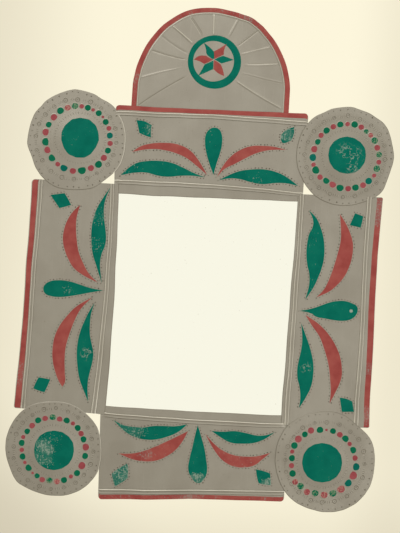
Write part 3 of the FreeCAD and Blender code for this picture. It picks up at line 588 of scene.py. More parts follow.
# Places where the green is rubbed to a speckle, and one painted highlight: X and Z of the middle,
# its reach and how far worn.
GREEN_WEAR_AND_HIGHLIGHT = (
    (0.0825, 0.192, 0.013, 0.13),
    (-0.069, 0.190, 0.010, 0.11),
    (-0.068, -0.141, 0.024, 0.12),
    (-0.078, -0.194, 0.026, 0.13),
    (0.087, -0.198, 0.018, 0.16),
    (0.008, -0.197, 0.018, 0.14),
    (-0.120, 0.089, 0.014, 0.1),
    (-0.122, 0.058, 0.014, 0.1),
    (-0.148, 0.007, 0.008, 0.1),
    # A painted highlight: a small pale spot on the right panel's drop.
    (0.165, 0.0027, 0.0024, 0.35),
    (0.117, 0.078, 0.010, 0.06),
    (0.120, 0.032, 0.010, 0.06),
    (0.0525, 0.1405, 0.008, 0.07),
    (-0.085, 0.142, 0.012, 0.06),
    (-0.168, -0.178, 0.026, 0.1),
    (-0.157, -0.160, 0.019, 0.07),
    (0.085, 0.052, 0.012, 0.08),
)

# Places where it has cracked: X and Z of the middle, and their reach.
GREEN_CRACKED = (
    (0.1476, 0.1776, 0.012),
    (0.1583, 0.1734, 0.012),
    (0.1575, 0.1605, 0.010),
    (-0.122, -0.062, 0.009),
    (0.119, -0.062, 0.008),
)

green_enamel = finish("green enamel", 0.0, lambda p: worn_enamel(
    p, GREEN, GREEN_WEAR_AND_HIGHLIGHT, 0.66, colour(170, 182, 168), GREEN_CRACKED), 0.05)


def enamel_figure(name, sides, front, material):
    """One figure: a filled outline with rounded rims, its narrow tips run out. Returns its edge."""
    points = [(p, index == 0) for side in sides for index, p in enumerate(side)]
    for k, (spot, sharp) in enumerate(points):
        before, after = points[k - 1][0], points[(k + 1) % len(points)][0]
        ahead = (spot - before).normalized() + (spot - after).normalized()
        if sharp and ahead.length > TIP_NARROW:
            points[k] = (spot + ahead * TIP_RUN, True)
    bpy.ops.curve.primitive_bezier_circle_add(radius=0.01)
    figure = newest(name)
    shape = figure.data
    shape.dimensions = "2D"
    shape.fill_mode = "BOTH"
    shape.resolution_u = 6
    shape.extrude = PAINT_HALF
    shape.bevel_depth = PAINT_ROUND
    shape.bevel_resolution = 1
    spline = shape.splines[0]
    spline.bezier_points.add(len(points) - len(spline.bezier_points))
    for knot, (spot, sharp) in zip(spline.bezier_points, points):
        knot.co = (spot.x * MM, spot.y * MM, 0)
        knot.handle_left_type = knot.handle_right_type = "VECTOR" if sharp else "AUTO"
    bpy.context.view_layer.update()
    knots = list(spline.bezier_points)
    edge = []
    for here, there in zip(knots, knots[1:] + knots[:1]):
        edge += interpolate_bezier(here.co, here.handle_right, there.handle_left, there.co, 12)[:-1]
    bpy.ops.object.convert(target="MESH")
    upright = Matrix.Rotation(math.pi / 2, 4, "X")
    figure.data.transform(Matrix.Translation((0, front * MM - PAINT_ROUND, 0)) @ upright)
    close_up(figure, 15)
    dress(figure, material)
    return [Vector((p.x, p.y)) for p in edge]


figure_edges = {name: [] for name in PANELS}
paints = {"green": green_enamel, "red": red_enamel}
for view, paint, name, sides in FIGURES:
    panel_name = view.replace("_low", "")
    placed = [seen(side, *VIEWS[view]) for side in sides]
    edge = enamel_figure(f"{panel_name}_{name}", placed, PANELS[panel_name]["front"], paints[paint])
    figure_edges[panel_name].append(edge)


# Punched dots. A blunt nail struck from the front outlines every figure: a small dent with a
# raised lip, gone dark inside. One dent is modelled and copied along each outline.
DOT_GAP = 1.35 * MM
DOT_PITCH = 3.1 * MM


def outward(ring, index):
    """The direction away from a closed outline at one of its points."""
    before, after = ring[index - 1], ring[(index + 1) % len(ring)]
    way = (after - before).normalized()
    return Vector((way.y, -way.x))


def dots_round(edge, gap, pitch):
    """Places every pitch along a line that runs gap outside a closed edge."""
    area = sum(a.x * b.y - b.x * a.y for a, b in zip(edge, edge[1:] + edge[:1]))
    ring = edge if area > 0 else edge[::-1]
    offset = [p + outward(ring, i) * gap for i, p in enumerate(ring)]
    places, walked = [], 0.0
    for here, there in zip(offset, offset[1:] + offset[:1]):
        walked += (there - here).length
        if walked >= pitch:
            walked = 0.0
            near = min((there - p).length for p in ring)
            if near > gap * 0.8:
                places.append(there)
    return places


def struck(name, rings, sides, dark=(1, 0)):
    """A stamped mark round its own axis: rings of radius and height, dark between two radii."""
    bpy.ops.mesh.primitive_circle_add(vertices=sides, radius=rings[0][0] * MM, fill_type="NGON")
    mark = newest(name)
    open_mesh()
    for (radius, height), (next_radius, next_height) in zip(rings, rings[1:]):
        lift = (next_height - height) * MM
        bpy.ops.mesh.extrude_region_move(TRANSFORM_OT_translate={"value": (0, 0, lift)})
        ratio = next_radius / radius
        bpy.ops.transform.resize(value=(ratio, ratio, 1))
    bpy.ops.object.mode_set(mode="OBJECT")
    for face in mark.data.polygons:
        reaches = [mark.data.vertices[v].co.xy.length / MM for v in face.vertices]
        face.material_index = int(min(reaches) > dark[0] - 0.01 and max(reaches) < dark[1] + 0.01)
    mark.data.transform(Matrix.Rotation(math.pi / 2, 4, "X"))
    return mark


def strike(name, master, places, materials):
    """Copies of one mark at every place (a matrix), as one piece."""
    mesh = bpy.data.meshes.new(name)
    for material in materials:
        mesh.materials.append(material)
    whole = bmesh.new()
    for place in places:
        first = len(whole.verts)
        whole.from_mesh(master.data)
        whole.verts.ensure_lookup_table()
        bmesh.ops.transform(whole, matrix=place, verts=whole.verts[first:])
    whole.to_mesh(mesh)
    whole.free()
    piece = bpy.data.objects.new(name, mesh)
    bpy.context.scene.collection.objects.link(piece)
    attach(piece, "frame")


# A painted highlight on one flank of each tick.
tick_highlight = finish("rubbed lip", 0.8, lambda p: (
    p.cloud(0.003).rise(0.3, 0.7).tint(TIN_PALE, TIN_HIGHLIGHT_AND_RUB), p.cloud(0.002) * 0.1 + 0.42, None, 0))
# Dark dirt in the dents; also painted shade on the other flank of each tick.
grime_and_tick_shade = finish("dark in the dents", 0.2, lambda p: (
    p.cloud(0.003).rise(0.4, 0.6).tint(colour(92, 84, 68), colour(70, 63, 50)),
    p.cloud(0.002) * 0.2 + 0.55, None, 0))
nail_mark = struck("nail_mark", [(1.15, 0.0), (0.9, 0.22), (0.78, 0.2), (0.3, 0.02)], 8, (0.0, 0.78))
hand = random.Random(11)

for panel_name, edges in figure_edges.items():
    places = []
    for edge in edges:
        for spot in dots_round(edge, DOT_GAP, DOT_PITCH):
            spot = spot + Vector((hand.uniform(-0.25, 0.25), hand.uniform(-0.25, 0.25))) * MM
            at = Matrix.Translation((spot.x, PANELS[panel_name]["front"] * MM, spot.y))
            places.append(at @ Matrix.Scale(hand.uniform(0.5, 0.85), 4))
    strike(panel_name + "_punching", nail_mark, places, [tinplate, grime_and_tick_shade])


# Discs. Four rounds of tinplate snipped by hand, raised a little in the middle and soldered over
# the open corners. Each has a painted spot, a ring of green and red dots, and a border struck
# with nails, small rings and ticks.
DISC_FRONT = -5.3
CROWN = 2.5
CROWN_REACH = 39.0
VIEW_ZOOM = 14.2545
BORDER_NAILS = 44
BORDER_MARKS = 40  # rings and sets of three ticks, by turns
TICKS_REACH = 44.0
RINGS_REACH = 44.2
HUB_TICKS = 56  # round the painted spot
HUB_REACH = 27.6
SIDE_END = 128  # nearer to the middle than this in height, a disc lies on a side panel
CAP_END = 106  # and in width, on the top or bottom panel
UPRIGHT = (math.pi / 2, 0, 0)

# For each: middle of its crown, X and Z; the painted light of its edge over the cap panel and over
# the side one, a highlight above 0 and a shadow line below; how much darker its crown is made; the
# numbers of its worn dots, and of those in the spot's own green; upper left photograph pixel of its
# enlarged view. Then in pixels of that view: its edge and its spot's, clockwise from the top, and
# every dot's middle and radius, green and red by turns.
DISCS = {
    "top_left_disc": {
        "middle": (-148.3, 172.4), "wear": (1.0, -0.6), "dull": 0.0, "worn": [0, 25], "teal": [8, 16],
        "corner": (20, 80),
        "edge": [(780, 128), (920, 155), (1070, 203), (1150, 262), (1262, 318), (1345, 383), (1412, 490),
            (1470, 600), (1505, 750), (1505, 880), (1485, 1050), (1435, 1200), (1340, 1325), (1180, 1450),
            (1060, 1535), (930, 1562), (780, 1568), (620, 1556), (500, 1525), (400, 1462), (300, 1370),
            (215, 1240), (165, 1080), (118, 970), (100, 900), (118, 760), (150, 620), (205, 480),
            (242, 430), (322, 355), (350, 310), (440, 248), (560, 190), (680, 150)],
        "spot": [(860, 537), (990, 562), (1085, 650), (1120, 750), (1128, 860), (1085, 960), (1010, 1060),
            (920, 1110), (800, 1107), (690, 1060), (625, 970), (588, 850), (595, 740), (640, 650),
            (740, 560)],
        "dots": [(785, 372, 45), (880, 377, 33), (968, 397, 43), (1043, 428, 25), (1123, 475, 43),
            (1182, 528, 18), (1222, 600, 43), (1268, 690, 35), (1280, 793, 44), (1285, 905, 38),
            (1253, 1007, 44), (1195, 1110, 45), (1118, 1203, 52), (1010, 1255, 45), (882, 1285, 58),
            (755, 1295, 45), (628, 1252, 52), (540, 1200, 35), (460, 1110, 52), (395, 997, 48),
            (370, 882, 55), (370, 745, 50), (413, 638, 43), (487, 535, 48), (578, 442, 50), (680, 397, 43)],
    },
    "top_right_disc": {
        "middle": (148.1, 172.0), "wear": (-0.7, -0.7), "dull": 0.38, "worn": [4, 5, 6, 8, 10],
        "teal": [12, 22], "corner": (290, 100),
        "edge": [(800, 98), (890, 98), (960, 125), (1130, 185), (1240, 260), (1330, 320), (1400, 420),
            (1440, 550), (1470, 700), (1485, 800), (1470, 900), (1420, 1050), (1380, 1160), (1330, 1290),
            (1250, 1370), (1080, 1450), (900, 1500), (750, 1510), (600, 1490), (450, 1430), (330, 1350),
            (220, 1220), (160, 1100), (110, 980), (90, 850), (95, 700), (130, 560), (170, 450), (240, 350),
            (290, 290), (370, 225), (470, 185), (590, 125), (680, 110)],
        "spot": [(812, 520), (920, 545), (1010, 605), (1070, 690), (1082, 790), (1065, 890), (1000, 985),
            (915, 1040), (812, 1054), (710, 1035), (620, 980), (560, 890), (542, 787), (560, 680),
            (625, 590), (710, 540)],
        "dots": [(717, 352, 45), (820, 345, 33), (920, 352, 48), (1015, 388, 40), (1085, 450, 35),
            (1150, 503, 35), (1205, 580, 48), (1242, 682, 42), (1268, 780, 42), (1265, 887, 35),
            (1235, 980, 48), (1198, 1078, 30), (1120, 1155, 48), (1040, 1215, 42), (932, 1247, 48),
            (828, 1263, 42), (713, 1250, 52), (608, 1203, 48), (517, 1150, 47), (428, 1100, 40),
            (370, 998, 55), (335, 923, 33), (328, 820, 52), (348, 702, 48), (397, 598, 42), (443, 505, 38),
            (522, 438, 47), (618, 383, 40)],
    },
    "bottom_left_disc": {
        "middle": (-152.6, -168.5), "wear": (0.6, 0.4), "dull": 0.0, "worn": [0, 13, 14], "teal": [],
        "corner": (0, 395),
        "edge": [(760, 92), (880, 95), (1000, 125), (1120, 180), (1230, 265), (1330, 370), (1400, 480),
            (1435, 620), (1445, 760), (1440, 900), (1400, 1090), (1350, 1170), (1240, 1290), (1130, 1365),
            (1000, 1415), (890, 1437), (700, 1432), (600, 1410), (480, 1370), (390, 1330), (250, 1250),
            (185, 1150), (120, 980), (90, 880), (75, 760), (85, 620), (130, 480), (200, 350), (290, 245),
            (400, 160), (500, 120), (620, 97)],
        "spot": [(770, 503), (890, 525), (985, 590), (1045, 680), (1057, 790), (1035, 900), (975, 990),
            (880, 1050), (770, 1071), (655, 1050), (560, 990), (500, 900), (484, 787), (505, 675),
            (565, 580), (660, 522)],
        "dots": [(752, 318, 45), (850, 345, 40), (950, 365, 45), (1040, 405, 30), (1107, 470, 45),
            (1155, 550, 40), (1188, 632, 45), (1220, 742, 50), (1212, 868, 45), (1165, 1005, 52),
            (1098, 1112, 45), (1012, 1160, 30), (912, 1210, 45), (812, 1230, 42), (705, 1212, 45),
            (603, 1205, 40), (530, 1150, 38), (465, 1110, 18), (410, 1035, 48), (355, 960, 25),
            (325, 875, 45), (312, 780, 33), (312, 682, 45), (332, 598, 30), (390, 518, 42), (460, 437, 42),
            (545, 362, 45), (645, 335, 40)],
    },
    "bottom_right_disc": {
        "middle": (146.2, -164.7), "wear": (-0.6, -0.6), "dull": 0.28, "worn": [11, 12, 13, 14, 15, 16, 17],
        "teal": [8, 10], "corner": (265, 405),
        "edge": [(900, 88), (1010, 100), (1150, 150), (1250, 235), (1350, 320), (1440, 400), (1510, 490),
            (1550, 600), (1567, 750), (1558, 900), (1538, 1030), (1498, 1160), (1412, 1290), (1300, 1402),
            (1130, 1493), (980, 1527), (800, 1525), (600, 1470), (450, 1400), (340, 1310), (270, 1220),
            (207, 1100), (160, 950), (138, 800), (156, 620), (200, 480), (290, 320), (370, 245), (500, 175),
            (600, 125), (740, 95)],
        "spot": [(812, 537), (925, 560), (1020, 620), (1083, 710), (1100, 820), (1080, 930), (1020, 1025),
            (925, 1085), (812, 1104), (700, 1085), (605, 1025), (545, 930), (524, 820), (545, 705),
            (605, 615), (700, 558)],
        "dots": [(783, 357, 48), (875, 355, 18), (968, 373, 43), (1065, 425, 42), (1142, 482, 50),
            (1205, 555, 32), (1252, 643, 48), (1280, 755, 40), (1295, 880, 52), (1252, 1003, 58),
            (1183, 1110, 52), (1082, 1195, 55), (967, 1255, 50), (843, 1278, 50), (715, 1253, 48),
            (597, 1238, 45), (507, 1155, 48), (428, 1095, 42), (393, 975, 48), (378, 863, 38),
            (385, 757, 45), (388, 663, 30), (418, 577, 48), (475, 485, 50), (568, 418, 42), (655, 363, 45)],
    },
}


def crown_at(radius):
    """Depth of a disc's front at a distance from its middle."""
    return DISC_FRONT - CROWN * math.cos(math.pi / 2 * min(1, radius / CROWN_REACH)) ** 2


def towards(angle):
    """The direction of an angle, in X and Z."""
    return Vector((math.cos(angle), math.sin(angle)))


def grow_rings(name, steps, hub_spot, rings):
    """A round sheet: a fan from its hub to the first ring, then the rim extruded to each next ring.

    A ring gives X, Y and Z in millimetres, and its value of painted light, partly standing for rubbing, for
    a direction in radians."""
    bpy.ops.mesh.primitive_circle_add(vertices=steps, radius=0.01, fill_type="TRIFAN", rotation=UPRIGHT)
    sheet = newest(name)
    bpy.ops.object.transform_apply(location=False, rotation=True, scale=False)
    bpy.ops.object.mode_set(mode="EDIT")
    mesh = bmesh.from_edit_mesh(sheet.data)
    rubbed = mesh.verts.layers.float.new("rubbed")
    rim = [v for v in mesh.verts if v.is_boundary]
    angles = [math.atan2(v.co.z, v.co.x) for v in rim]
    next(v for v in mesh.verts if not v.is_boundary).co = Vector(hub_spot) * MM
    for number, ring in enumerate(rings):
        if number:
            edges = list({e for v in rim for e in v.link_edges if e.is_boundary})
            made = bmesh.ops.extrude_edge_only(mesh, edges=edges)["geom"]
            before = {v: k for k, v in enumerate(rim)}
            for vertex in [g for g in made if isinstance(g, bmesh.types.BMVert)]:
                origin = next(v for v in (e.other_vert(vertex) for e in vertex.link_edges) if v in before)
                rim[before[origin]] = vertex
        for vertex, angle in zip(rim, angles):
            *spot, vertex[rubbed] = ring(angle)
            vertex.co = Vector(spot) * MM
    bmesh.ops.contextual_create(mesh, geom=[e for e in mesh.edges if e.is_boundary])
    bmesh.update_edit_mesh(sheet.data)
    bpy.ops.object.mode_set(mode="OBJECT")
    return sheet


def edge_reach(points, middle, angle):
    """Distance from the middle to a closed outline in one direction."""
    way = towards(angle)
    for here, there in zip(points, points[1:] + points[:1]):
        run = there - here
        start = here - middle
        turn = way.cross(run)
        if abs(turn) < 1e-9:
            continue
        share = start.cross(way) / turn
        reach = start.cross(run) / turn
        if 0 <= share <= 1 and reach > 0:
            return reach
    return 0.0


def hand_cut(points, middle):
    """The outline's distance by direction, its corners eased as shears leave them."""
    spread = [math.radians(a) for a in (-3, -1, 1, 3)]
    return lambda angle: sum(edge_reach(points, middle, angle + a) for a in spread) / len(spread)


ring_profile = [(2.95, 0.0), (2.7, 0.16), (2.5, 0.12), (1.9, 0.1), (1.7, 0.02)]
ring_mark = struck("ring_mark", ring_profile, 14, (1.9, 2.5))
paint_blob = struck("paint_blob", [(1.0, 0.0), (0.94, 0.12), (0.7, 0.2), (0.3, 0.24)], 14)
paint_seat = struck("paint_seat", [(1.28, 0.0), (1.12, 0.13), (0.96, 0.04)], 14)

bpy.ops.mesh.primitive_cube_add(size=1)
tick_mark = newest("tick_mark")
for vertex in tick_mark.data.vertices:
    narrow = 0.35 if vertex.co.y < 0 else 1
    vertex.co = Vector((vertex.co.x * narrow, vertex.co.y * 0.26 - 0.07, vertex.co.z * 2.3)) * MM
tick_mark.data.update()
# One flank of each tick gets painted shade and the other a painted highlight.
for face in tick_mark.data.polygons:
    face.material_index = 1 if face.normal.x > 0.4 else 2 if face.normal.x < -0.4 else 0

faint_grime = finish("faint grime", 0.4, lambda p: (
    p.cloud(0.006).rise(0.35, 0.65).tint(colour(122, 116, 102), colour(96, 90, 76)),
    p.cloud(0.002) * 0.2 + 0.5, None, 0))


def dot_enamel(name, paints, sound=0.66, bare=TIN_PALE):
    """Enamel of the small dots, chipped all over alike."""
    return finish(name, 0.0, lambda p: worn_enamel(p, paints, (), sound, bare), 0.05)


dot_paints = {
    "green_dots": dot_enamel("green of the dots", GREEN_DOT),
    "green_worn_dots": dot_enamel("worn green", GREEN_DOT, 0.5, colour(150, 164, 130)),
    "red_dots": dot_enamel("red of the dots", RED_DOT),
    "red_worn_dots": dot_enamel("worn red", RED_DOT, 0.5, colour(190, 150, 134)),
    "teal_dots": dot_enamel("bluer green", (colour(6, 106, 92), colour(14, 114, 98), colour(2, 94, 82))),
}


def on_crown(middle, spot, lift=0.0):
    """Depth of a disc's front at an X and Z, and lift above it."""
    return crown_at((spot - middle).length) - lift


for name, disc in DISCS.items():
    middle = Vector(disc["middle"])
    view = (disc["corner"], VIEW_ZOOM)
    edge = hand_cut(seen(disc["edge"], *view), middle)
    edge_light_over_cap, edge_light_over_side = disc["wear"]

    def crown_ring(radius, lift=0.0):
        """A ring of the crown, dulled all over."""
        def ring(angle):
            spot = middle + towards(angle) * radius
            return spot.x, crown_at(radius) + lift, spot.y, -disc["dull"]
        return ring

    def rim_ring(inset, depth, rubbed=0.0):
        """A ring that follows the cut edge: the disc's painted edge light where it lies on the panels,
        painted shade where it lies on none.
        """
        def ring(angle):
            spot = middle + towards(angle) * (edge(angle) - inset)
            if abs(spot.y) < SIDE_END:
                return spot.x, depth, spot.y, rubbed * edge_light_over_side
            return spot.x, depth, spot.y, rubbed * (edge_light_over_cap if abs(spot.x) < CAP_END else -0.5)
        return ring

    radii = [3, 6, 9, 12, 16, 20, 24, 28, 32, 36, 39, 45]
    # Across the cut edge: inset, depth, and the share of the edge's painted light that each row takes.
    lip = ((1.0, 0.0, 0.0), (0.6, 0.0, 1.0), (0.15, 0.06, 1.0), (0.0, 0.2, 1.0), (0.15, 0.34, 0.0),
           (0.5, 0.4, 0.0))
    rings = [crown_ring(radius) for radius in radii]
    rings += [rim_ring(inset, DISC_FRONT + depth, rubbed) for inset, depth, rubbed in lip]
    rings += [crown_ring(radius, SHEET) for radius in reversed(radii)]
    sheet = grow_rings(name + "_sheet", 180, (middle.x, crown_at(0), middle.y), rings)
    close_up(sheet, 40)
    dress(sheet, tinplate)
    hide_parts(name)

    spot_points = seen(disc["spot"], *view)
    paint_middle = sum(spot_points, Vector((0, 0))) / len(spot_points)
    spot_edge = hand_cut(spot_points, paint_middle)

    def spot_ring(share, lift):
        """A ring of the painted spot, at a share of the way to its edge."""
        def ring(angle):
            spot = paint_middle + towards(angle) * (spot_edge(angle) * share)
            return spot.x, on_crown(middle, spot, lift), spot.y, 0.0
        return ring

    shares = (0.12, 0.25, 0.38, 0.5, 0.62, 0.74, 0.86, 0.96)
    spot_rings = [spot_ring(share, 0.1) for share in shares]
    spot_rings += [spot_ring(0.985, 0.08), spot_ring(1.0, -0.02)]
    spot_rings += [spot_ring(share, -0.12) for share in reversed(shares)]
    paint_hub = (paint_middle.x, on_crown(middle, paint_middle, 0.1), paint_middle.y)
    spot = grow_rings(name + "_spot", 72, paint_hub, spot_rings)
    close_up(spot, 40)
    dress(spot, green_enamel)

    def struck_at(spot, turn=0.0, size=1.0, rise=1.0):
        """Matrix of a mark struck into the disc at an X and Z."""
        place = Matrix.Translation(Vector((spot.x, on_crown(middle, spot), spot.y)) * MM)
        return place @ Matrix.Rotation(turn, 4, "Y") @ Matrix.Diagonal((size, rise, size, 1))

    dots = seen([dot[:2] for dot in disc["dots"]], *view)
    sizes = [radius / VIEW_ZOOM * PIXEL for x, y, radius in disc["dots"]]
    painted = {}
    for k, (dot, size) in enumerate(zip(dots, sizes)):
        kind = "worn_dots" if k in disc["worn"] else "dots"
        kind = "teal_dots" if k in disc["teal"] else ("green_" if k % 2 == 0 else "red_") + kind
        painted.setdefault(kind, []).append(struck_at(dot, 0, size * 1.06, 0.8))
    for kind, places in painted.items():
        strike(f"{name}_{kind}", paint_blob, places, [dot_paints[kind]])
    seats = [struck_at(dot, 0, size) for dot, size in zip(dots, sizes)]
    strike(name + "_dot_seats", paint_seat, seats, [tinplate])

    nails, loops, ticks = [], [], []
    for k in range(BORDER_NAILS):
        angle = 2 * math.pi * (k + hand.uniform(-0.2, 0.2)) / BORDER_NAILS
        at = middle + towards(angle) * (edge(angle) - hand.uniform(2.4, 3.6))
        nails.append(struck_at(at, 0, hand.uniform(0.45, 0.95)))
    for k in range(BORDER_MARKS):
        angle = 2 * math.pi * (k + hand.uniform(-0.15, 0.15)) / BORDER_MARKS
        if k % 2:
            for aside in (-0.05, 0.0, 0.05):
                at = middle + towards(angle + aside) * (TICKS_REACH + hand.uniform(-0.5, 0.5))
                ticks.append(struck_at(at, math.pi / 2 - angle, hand.uniform(0.8, 1.1)))
        else:
            at = middle + towards(angle) * (RINGS_REACH + hand.uniform(-0.8, 0.8))
            loops.append(struck_at(at, 0, hand.uniform(0.75, 1.0)))
            nails.append(struck_at(at, 0, hand.uniform(0.4, 0.6)))
    for k in range(HUB_TICKS):
        angle = 2 * math.pi * (k + hand.uniform(-0.2, 0.2)) / HUB_TICKS
        at = paint_middle + towards(angle) * HUB_REACH
        ticks.append(struck_at(at, math.pi / 2 - angle, hand.uniform(0.7, 1.0)))
    strike(name + "_punching", nail_mark, nails, [tinplate, faint_grime])
    strike(name + "_rings", ring_mark, loops, [tinplate, faint_grime])
    strike(name + "_ticks", tick_mark, ticks, [tinplate, grime_and_tick_shade, tick_highlight])

for master in (nail_mark, ring_mark, paint_blob, paint_seat, tick_mark):
    bpy.data.objects.remove(master)


# Crest. An arched sheet behind the top panel, its rim hemmed to the back and painted red, a fine
# bead inside the rim, and thirteen creases that fan out from a painted ring: some pressed up
# from behind, some scored from the front.
ARCH_CENTRE = Vector((-3.3, 239.5))
ARCH_RADIUS = 87.0
CREST_FOOT = 200.5
CREST_FRONT = -3.7
FAN = Vector((-2.4, 265.5))
CREST_HEM = 5.4
FIELD_INSET = 8.0
FIELD_END = 31.0  # radius at which the creased field meets the painted ring
CREASE_END = 32.5  # and nearest radius to it that a crease reaches
CREASE_FADE = 3  # and the length in which it dies away
CREASE_REACH = 4  # how far beside its line a crease is looked for
CREASE_HALF = 1.4
LINE_HALF = 0.9
FLANK = 1.3  # from a crease's line to the middle of its lit or dark side
FLANK_HALF = 0.8
HUB_RADII = (12, 22)
CREST_STEPS = 720
STEP = 2 * math.pi / CREST_STEPS

# How far the hand-cut rim lies outside the true arch, by direction from its centre in degrees.
ARCH_SWAY = (
    (-30, -0.6), (0, -0.5), (15, -1.2), (28, -1.4), (45, -0.6), (55, 0.6), (63, 1.2), (72, -0.3), (80, -0.7),
    (92, 0.0), (110, 1.0), (128, -0.4), (145, -1.8), (160, -2.2), (172, -1.5), (182, -0.3), (215, 0.0),
)

# The crest's enlarged view: its upper left photograph pixel and its zoom. Then each crease: its
# outer and its inner end, in pixels of that view; how far it stands out of the sheet; and the painted
# light of its line and of its clockwise and its other side, 1 for a painted highlight and -1 for
# painted shade; on the line it partly stands for a rubbed ridge and a dirty score.
CREST_VIEW = ((130, 0), 9.224)
CREASES = (
    ((70, 970), (510, 705), -0.1, (-1.0, -0.2, 0.1)),
    ((95, 715), (425, 628), 0.3, (0.25, 0.0, -0.2)),
    ((195, 462), (520, 550), -0.3, (-0.8, 0.2, 0.0)),
    ((285, 325), (525, 490), -0.3, (-0.6, 0.2, 0.0)),
    ((385, 230), (575, 390), 0.6, (1.2, 0.0, -0.4)),
    ((550, 140), (668, 320), 0.4, (0.3, -0.8, 0.7)),
    ((778, 115), (770, 310), 0.5, (1.6, 0.4, -0.2)),
    ((1000, 175), (915, 330), 0.25, (0.3, -0.6, 0.4)),
    ((1180, 280), (1000, 420), -0.3, (-0.9, 0.0, 0.1)),
    ((1300, 430), (1040, 495), 0.4, (0.5, 0.0, -0.6)),
    ((1385, 590), (1090, 603), 0.4, (0.7, 0.0, -0.8)),
    ((1415, 770), (1060, 680), 0.3, (-0.6, 0.5, 0.0)),
    ((1420, 1010), (970, 735), 0.4, (0.7, -0.8, 0.0)),
)


def rim_sway(spot):
    """How far the cut rim lies outside the true arch beside a point of it."""
    turn = math.degrees(math.atan2(spot.y - ARCH_CENTRE.y, spot.x - ARCH_CENTRE.x))
    turn += 360 if turn < -90 else 0
    for (low, before), (high, after) in zip(ARCH_SWAY, ARCH_SWAY[1:]):
        if low <= turn <= high:
            share = (turn - low) / (high - low)
            return before + (after - before) * share * share * (3 - 2 * share)
    return 0.0


def arch_reach(angle, inset):
    """Distance from the fan's middle to the crest's outline, drawn in by inset."""
    way = towards(angle)
    radius = ARCH_RADIUS - inset
    offset = FAN - ARCH_CENTRE
    along = offset.dot(way)
    reach = -along + math.sqrt(along * along - offset.length_squared + radius * radius)
    if FAN.y + reach * way.y < ARCH_CENTRE.y:
        side = (math.copysign(radius, way.x) - offset.x) / way.x if abs(way.x) > 1e-6 else 1e9
        foot = (CREST_FOOT + 0.5 * inset - FAN.y) / way.y
        if foot < side:
            return foot
        reach = side
    return reach + rim_sway(FAN + way * reach)


def direction(point):
    return math.atan2(point[1] - FAN.y, point[0] - FAN.x)


def apart(angle, other):
    """The turn from one direction to another, at most half a circle."""
    return (angle - other + math.pi) % (2 * math.pi) - math.pi


crease_rows = []
for *ends, stand, rubbing_and_shading in CREASES:
    outer, inner = seen(ends, *CREST_VIEW)
    angle = round(direction(outer) / STEP) * STEP
    crease_rows.append((angle, direction(inner), (inner - FAN).length, stand, rubbing_and_shading))
crease_rows.sort()


def turned(angle, share):
    """Direction of a spoke at a share, 0 at the rim to 1 at the ring, so that creases run true."""
    rows = [(row[0] % (2 * math.pi), apart(row[1], row[0])) for row in crease_rows]
    rows = sorted((outer, outer + turn) for outer, turn in rows)
    rows = [(rows[-1][0] - 2 * math.pi, rows[-1][1] - 2 * math.pi)] + rows
    rows.append((rows[1][0] + 2 * math.pi, rows[1][1] + 2 * math.pi))
    here = angle % (2 * math.pi)
    for (a, b), (c, d) in zip(rows, rows[1:]):
        if a <= here <= c:
            inner = b + (d - b) * (here - a) / (c - a)
            return here + (inner - here) * share
    return here


def crest_ring(inset, depth, rubbed=0.0):
    """A ring that follows the crest's outline; hem and bead are a little narrower at the top."""
    def ring(angle):
        narrowing = 0.09 * max(0, math.sin(angle)) if inset > 1 else 0
        reach = arch_reach(angle, inset * (1 - narrowing))
        return FAN.x + reach * math.cos(angle), CREST_FRONT + depth, FAN.y + reach * math.sin(angle), rubbed
    return ring


def field_ring(share, depth):
    """A ring of the creased field, from the bead, 0, to the painted ring, 1."""
    def ring(angle):
        way = turned(angle, share)
        reach = arch_reach(angle, FIELD_INSET) * (1 - share) + FIELD_END * share
        stand = rubbed = 0.0
        for row, inner, start, height, (line, clockwise, other) in crease_rows:
            beside = apart(angle, row) * reach
            if abs(beside) < CREASE_REACH:
                within = (reach - max(start, CREASE_END)) / CREASE_FADE + 0.5
                here = min(1, max(0, within)) * min(1, share * 14 + 0.7)
                stand += here * height * max(0, 1 - abs(beside) / CREASE_HALF)
                # Painted light of the crease: a highlight above 0 and shade below, on its line and its two
                # sides.
                rubbed += here * line * max(0, 1 - abs(beside) / LINE_HALF)
                rubbed += here * clockwise * max(0, 1 - abs(beside + FLANK) / FLANK_HALF)
                rubbed += here * other * max(0, 1 - abs(beside - FLANK) / FLANK_HALF)
        spot = FAN + towards(way) * reach
        return spot.x, CREST_FRONT + depth - stand, spot.y, 0.0 if depth else rubbed
    return ring


def plain_ring(radius, depth):
    def ring(angle):
        way = turned(angle, 1)
        return FAN.x + radius * math.cos(way), CREST_FRONT + depth, FAN.y + radius * math.sin(way), 0.0
    return ring


shares = [1.0, 0.96, 0.9, 0.8, 0.65, 0.5, 0.35, 0.2, 0.1, 0.04, 0.0]
# Across the rim bead: inset, depth, and painted light, a highlight above 0 and shade below.
rim_bead = [(7.7, 0.0, -0.2), (7.35, -0.15, 0.0), (7.0, -0.4, 0.35), (6.6, -0.5, 0.7), (6.2, -0.4, 0.7),
            (5.85, -0.2, 0.3), (5.6, 0.0, -0.2)]
hem = [(5.45, 0.04), (0.36, 0.0), (0.1, 0.14), (0.0, 0.4), (0.1, 0.66), (0.36, 0.8), (CREST_HEM, 0.8),
       (CREST_HEM, SHEET)]
rings = [plain_ring(radius, 0) for radius in HUB_RADII]
rings += [field_ring(share, 0) for share in shares]
rings += [crest_ring(*row) for row in rim_bead]
rings += [crest_ring(inset, depth) for inset, depth in hem]
rings += [crest_ring(inset, depth + SHEET) for inset, depth, rubbed in reversed(rim_bead)]
rings += [field_ring(share, SHEET) for share in reversed(shares)]
rings += [plain_ring(radius, SHEET) for radius in reversed(HUB_RADII)]
crest = grow_rings("crest_sheet", CREST_STEPS, (FAN.x, CREST_FRONT, FAN.y), rings)
close_up(crest, 28)
dress(crest, tinplate)
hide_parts("crest")

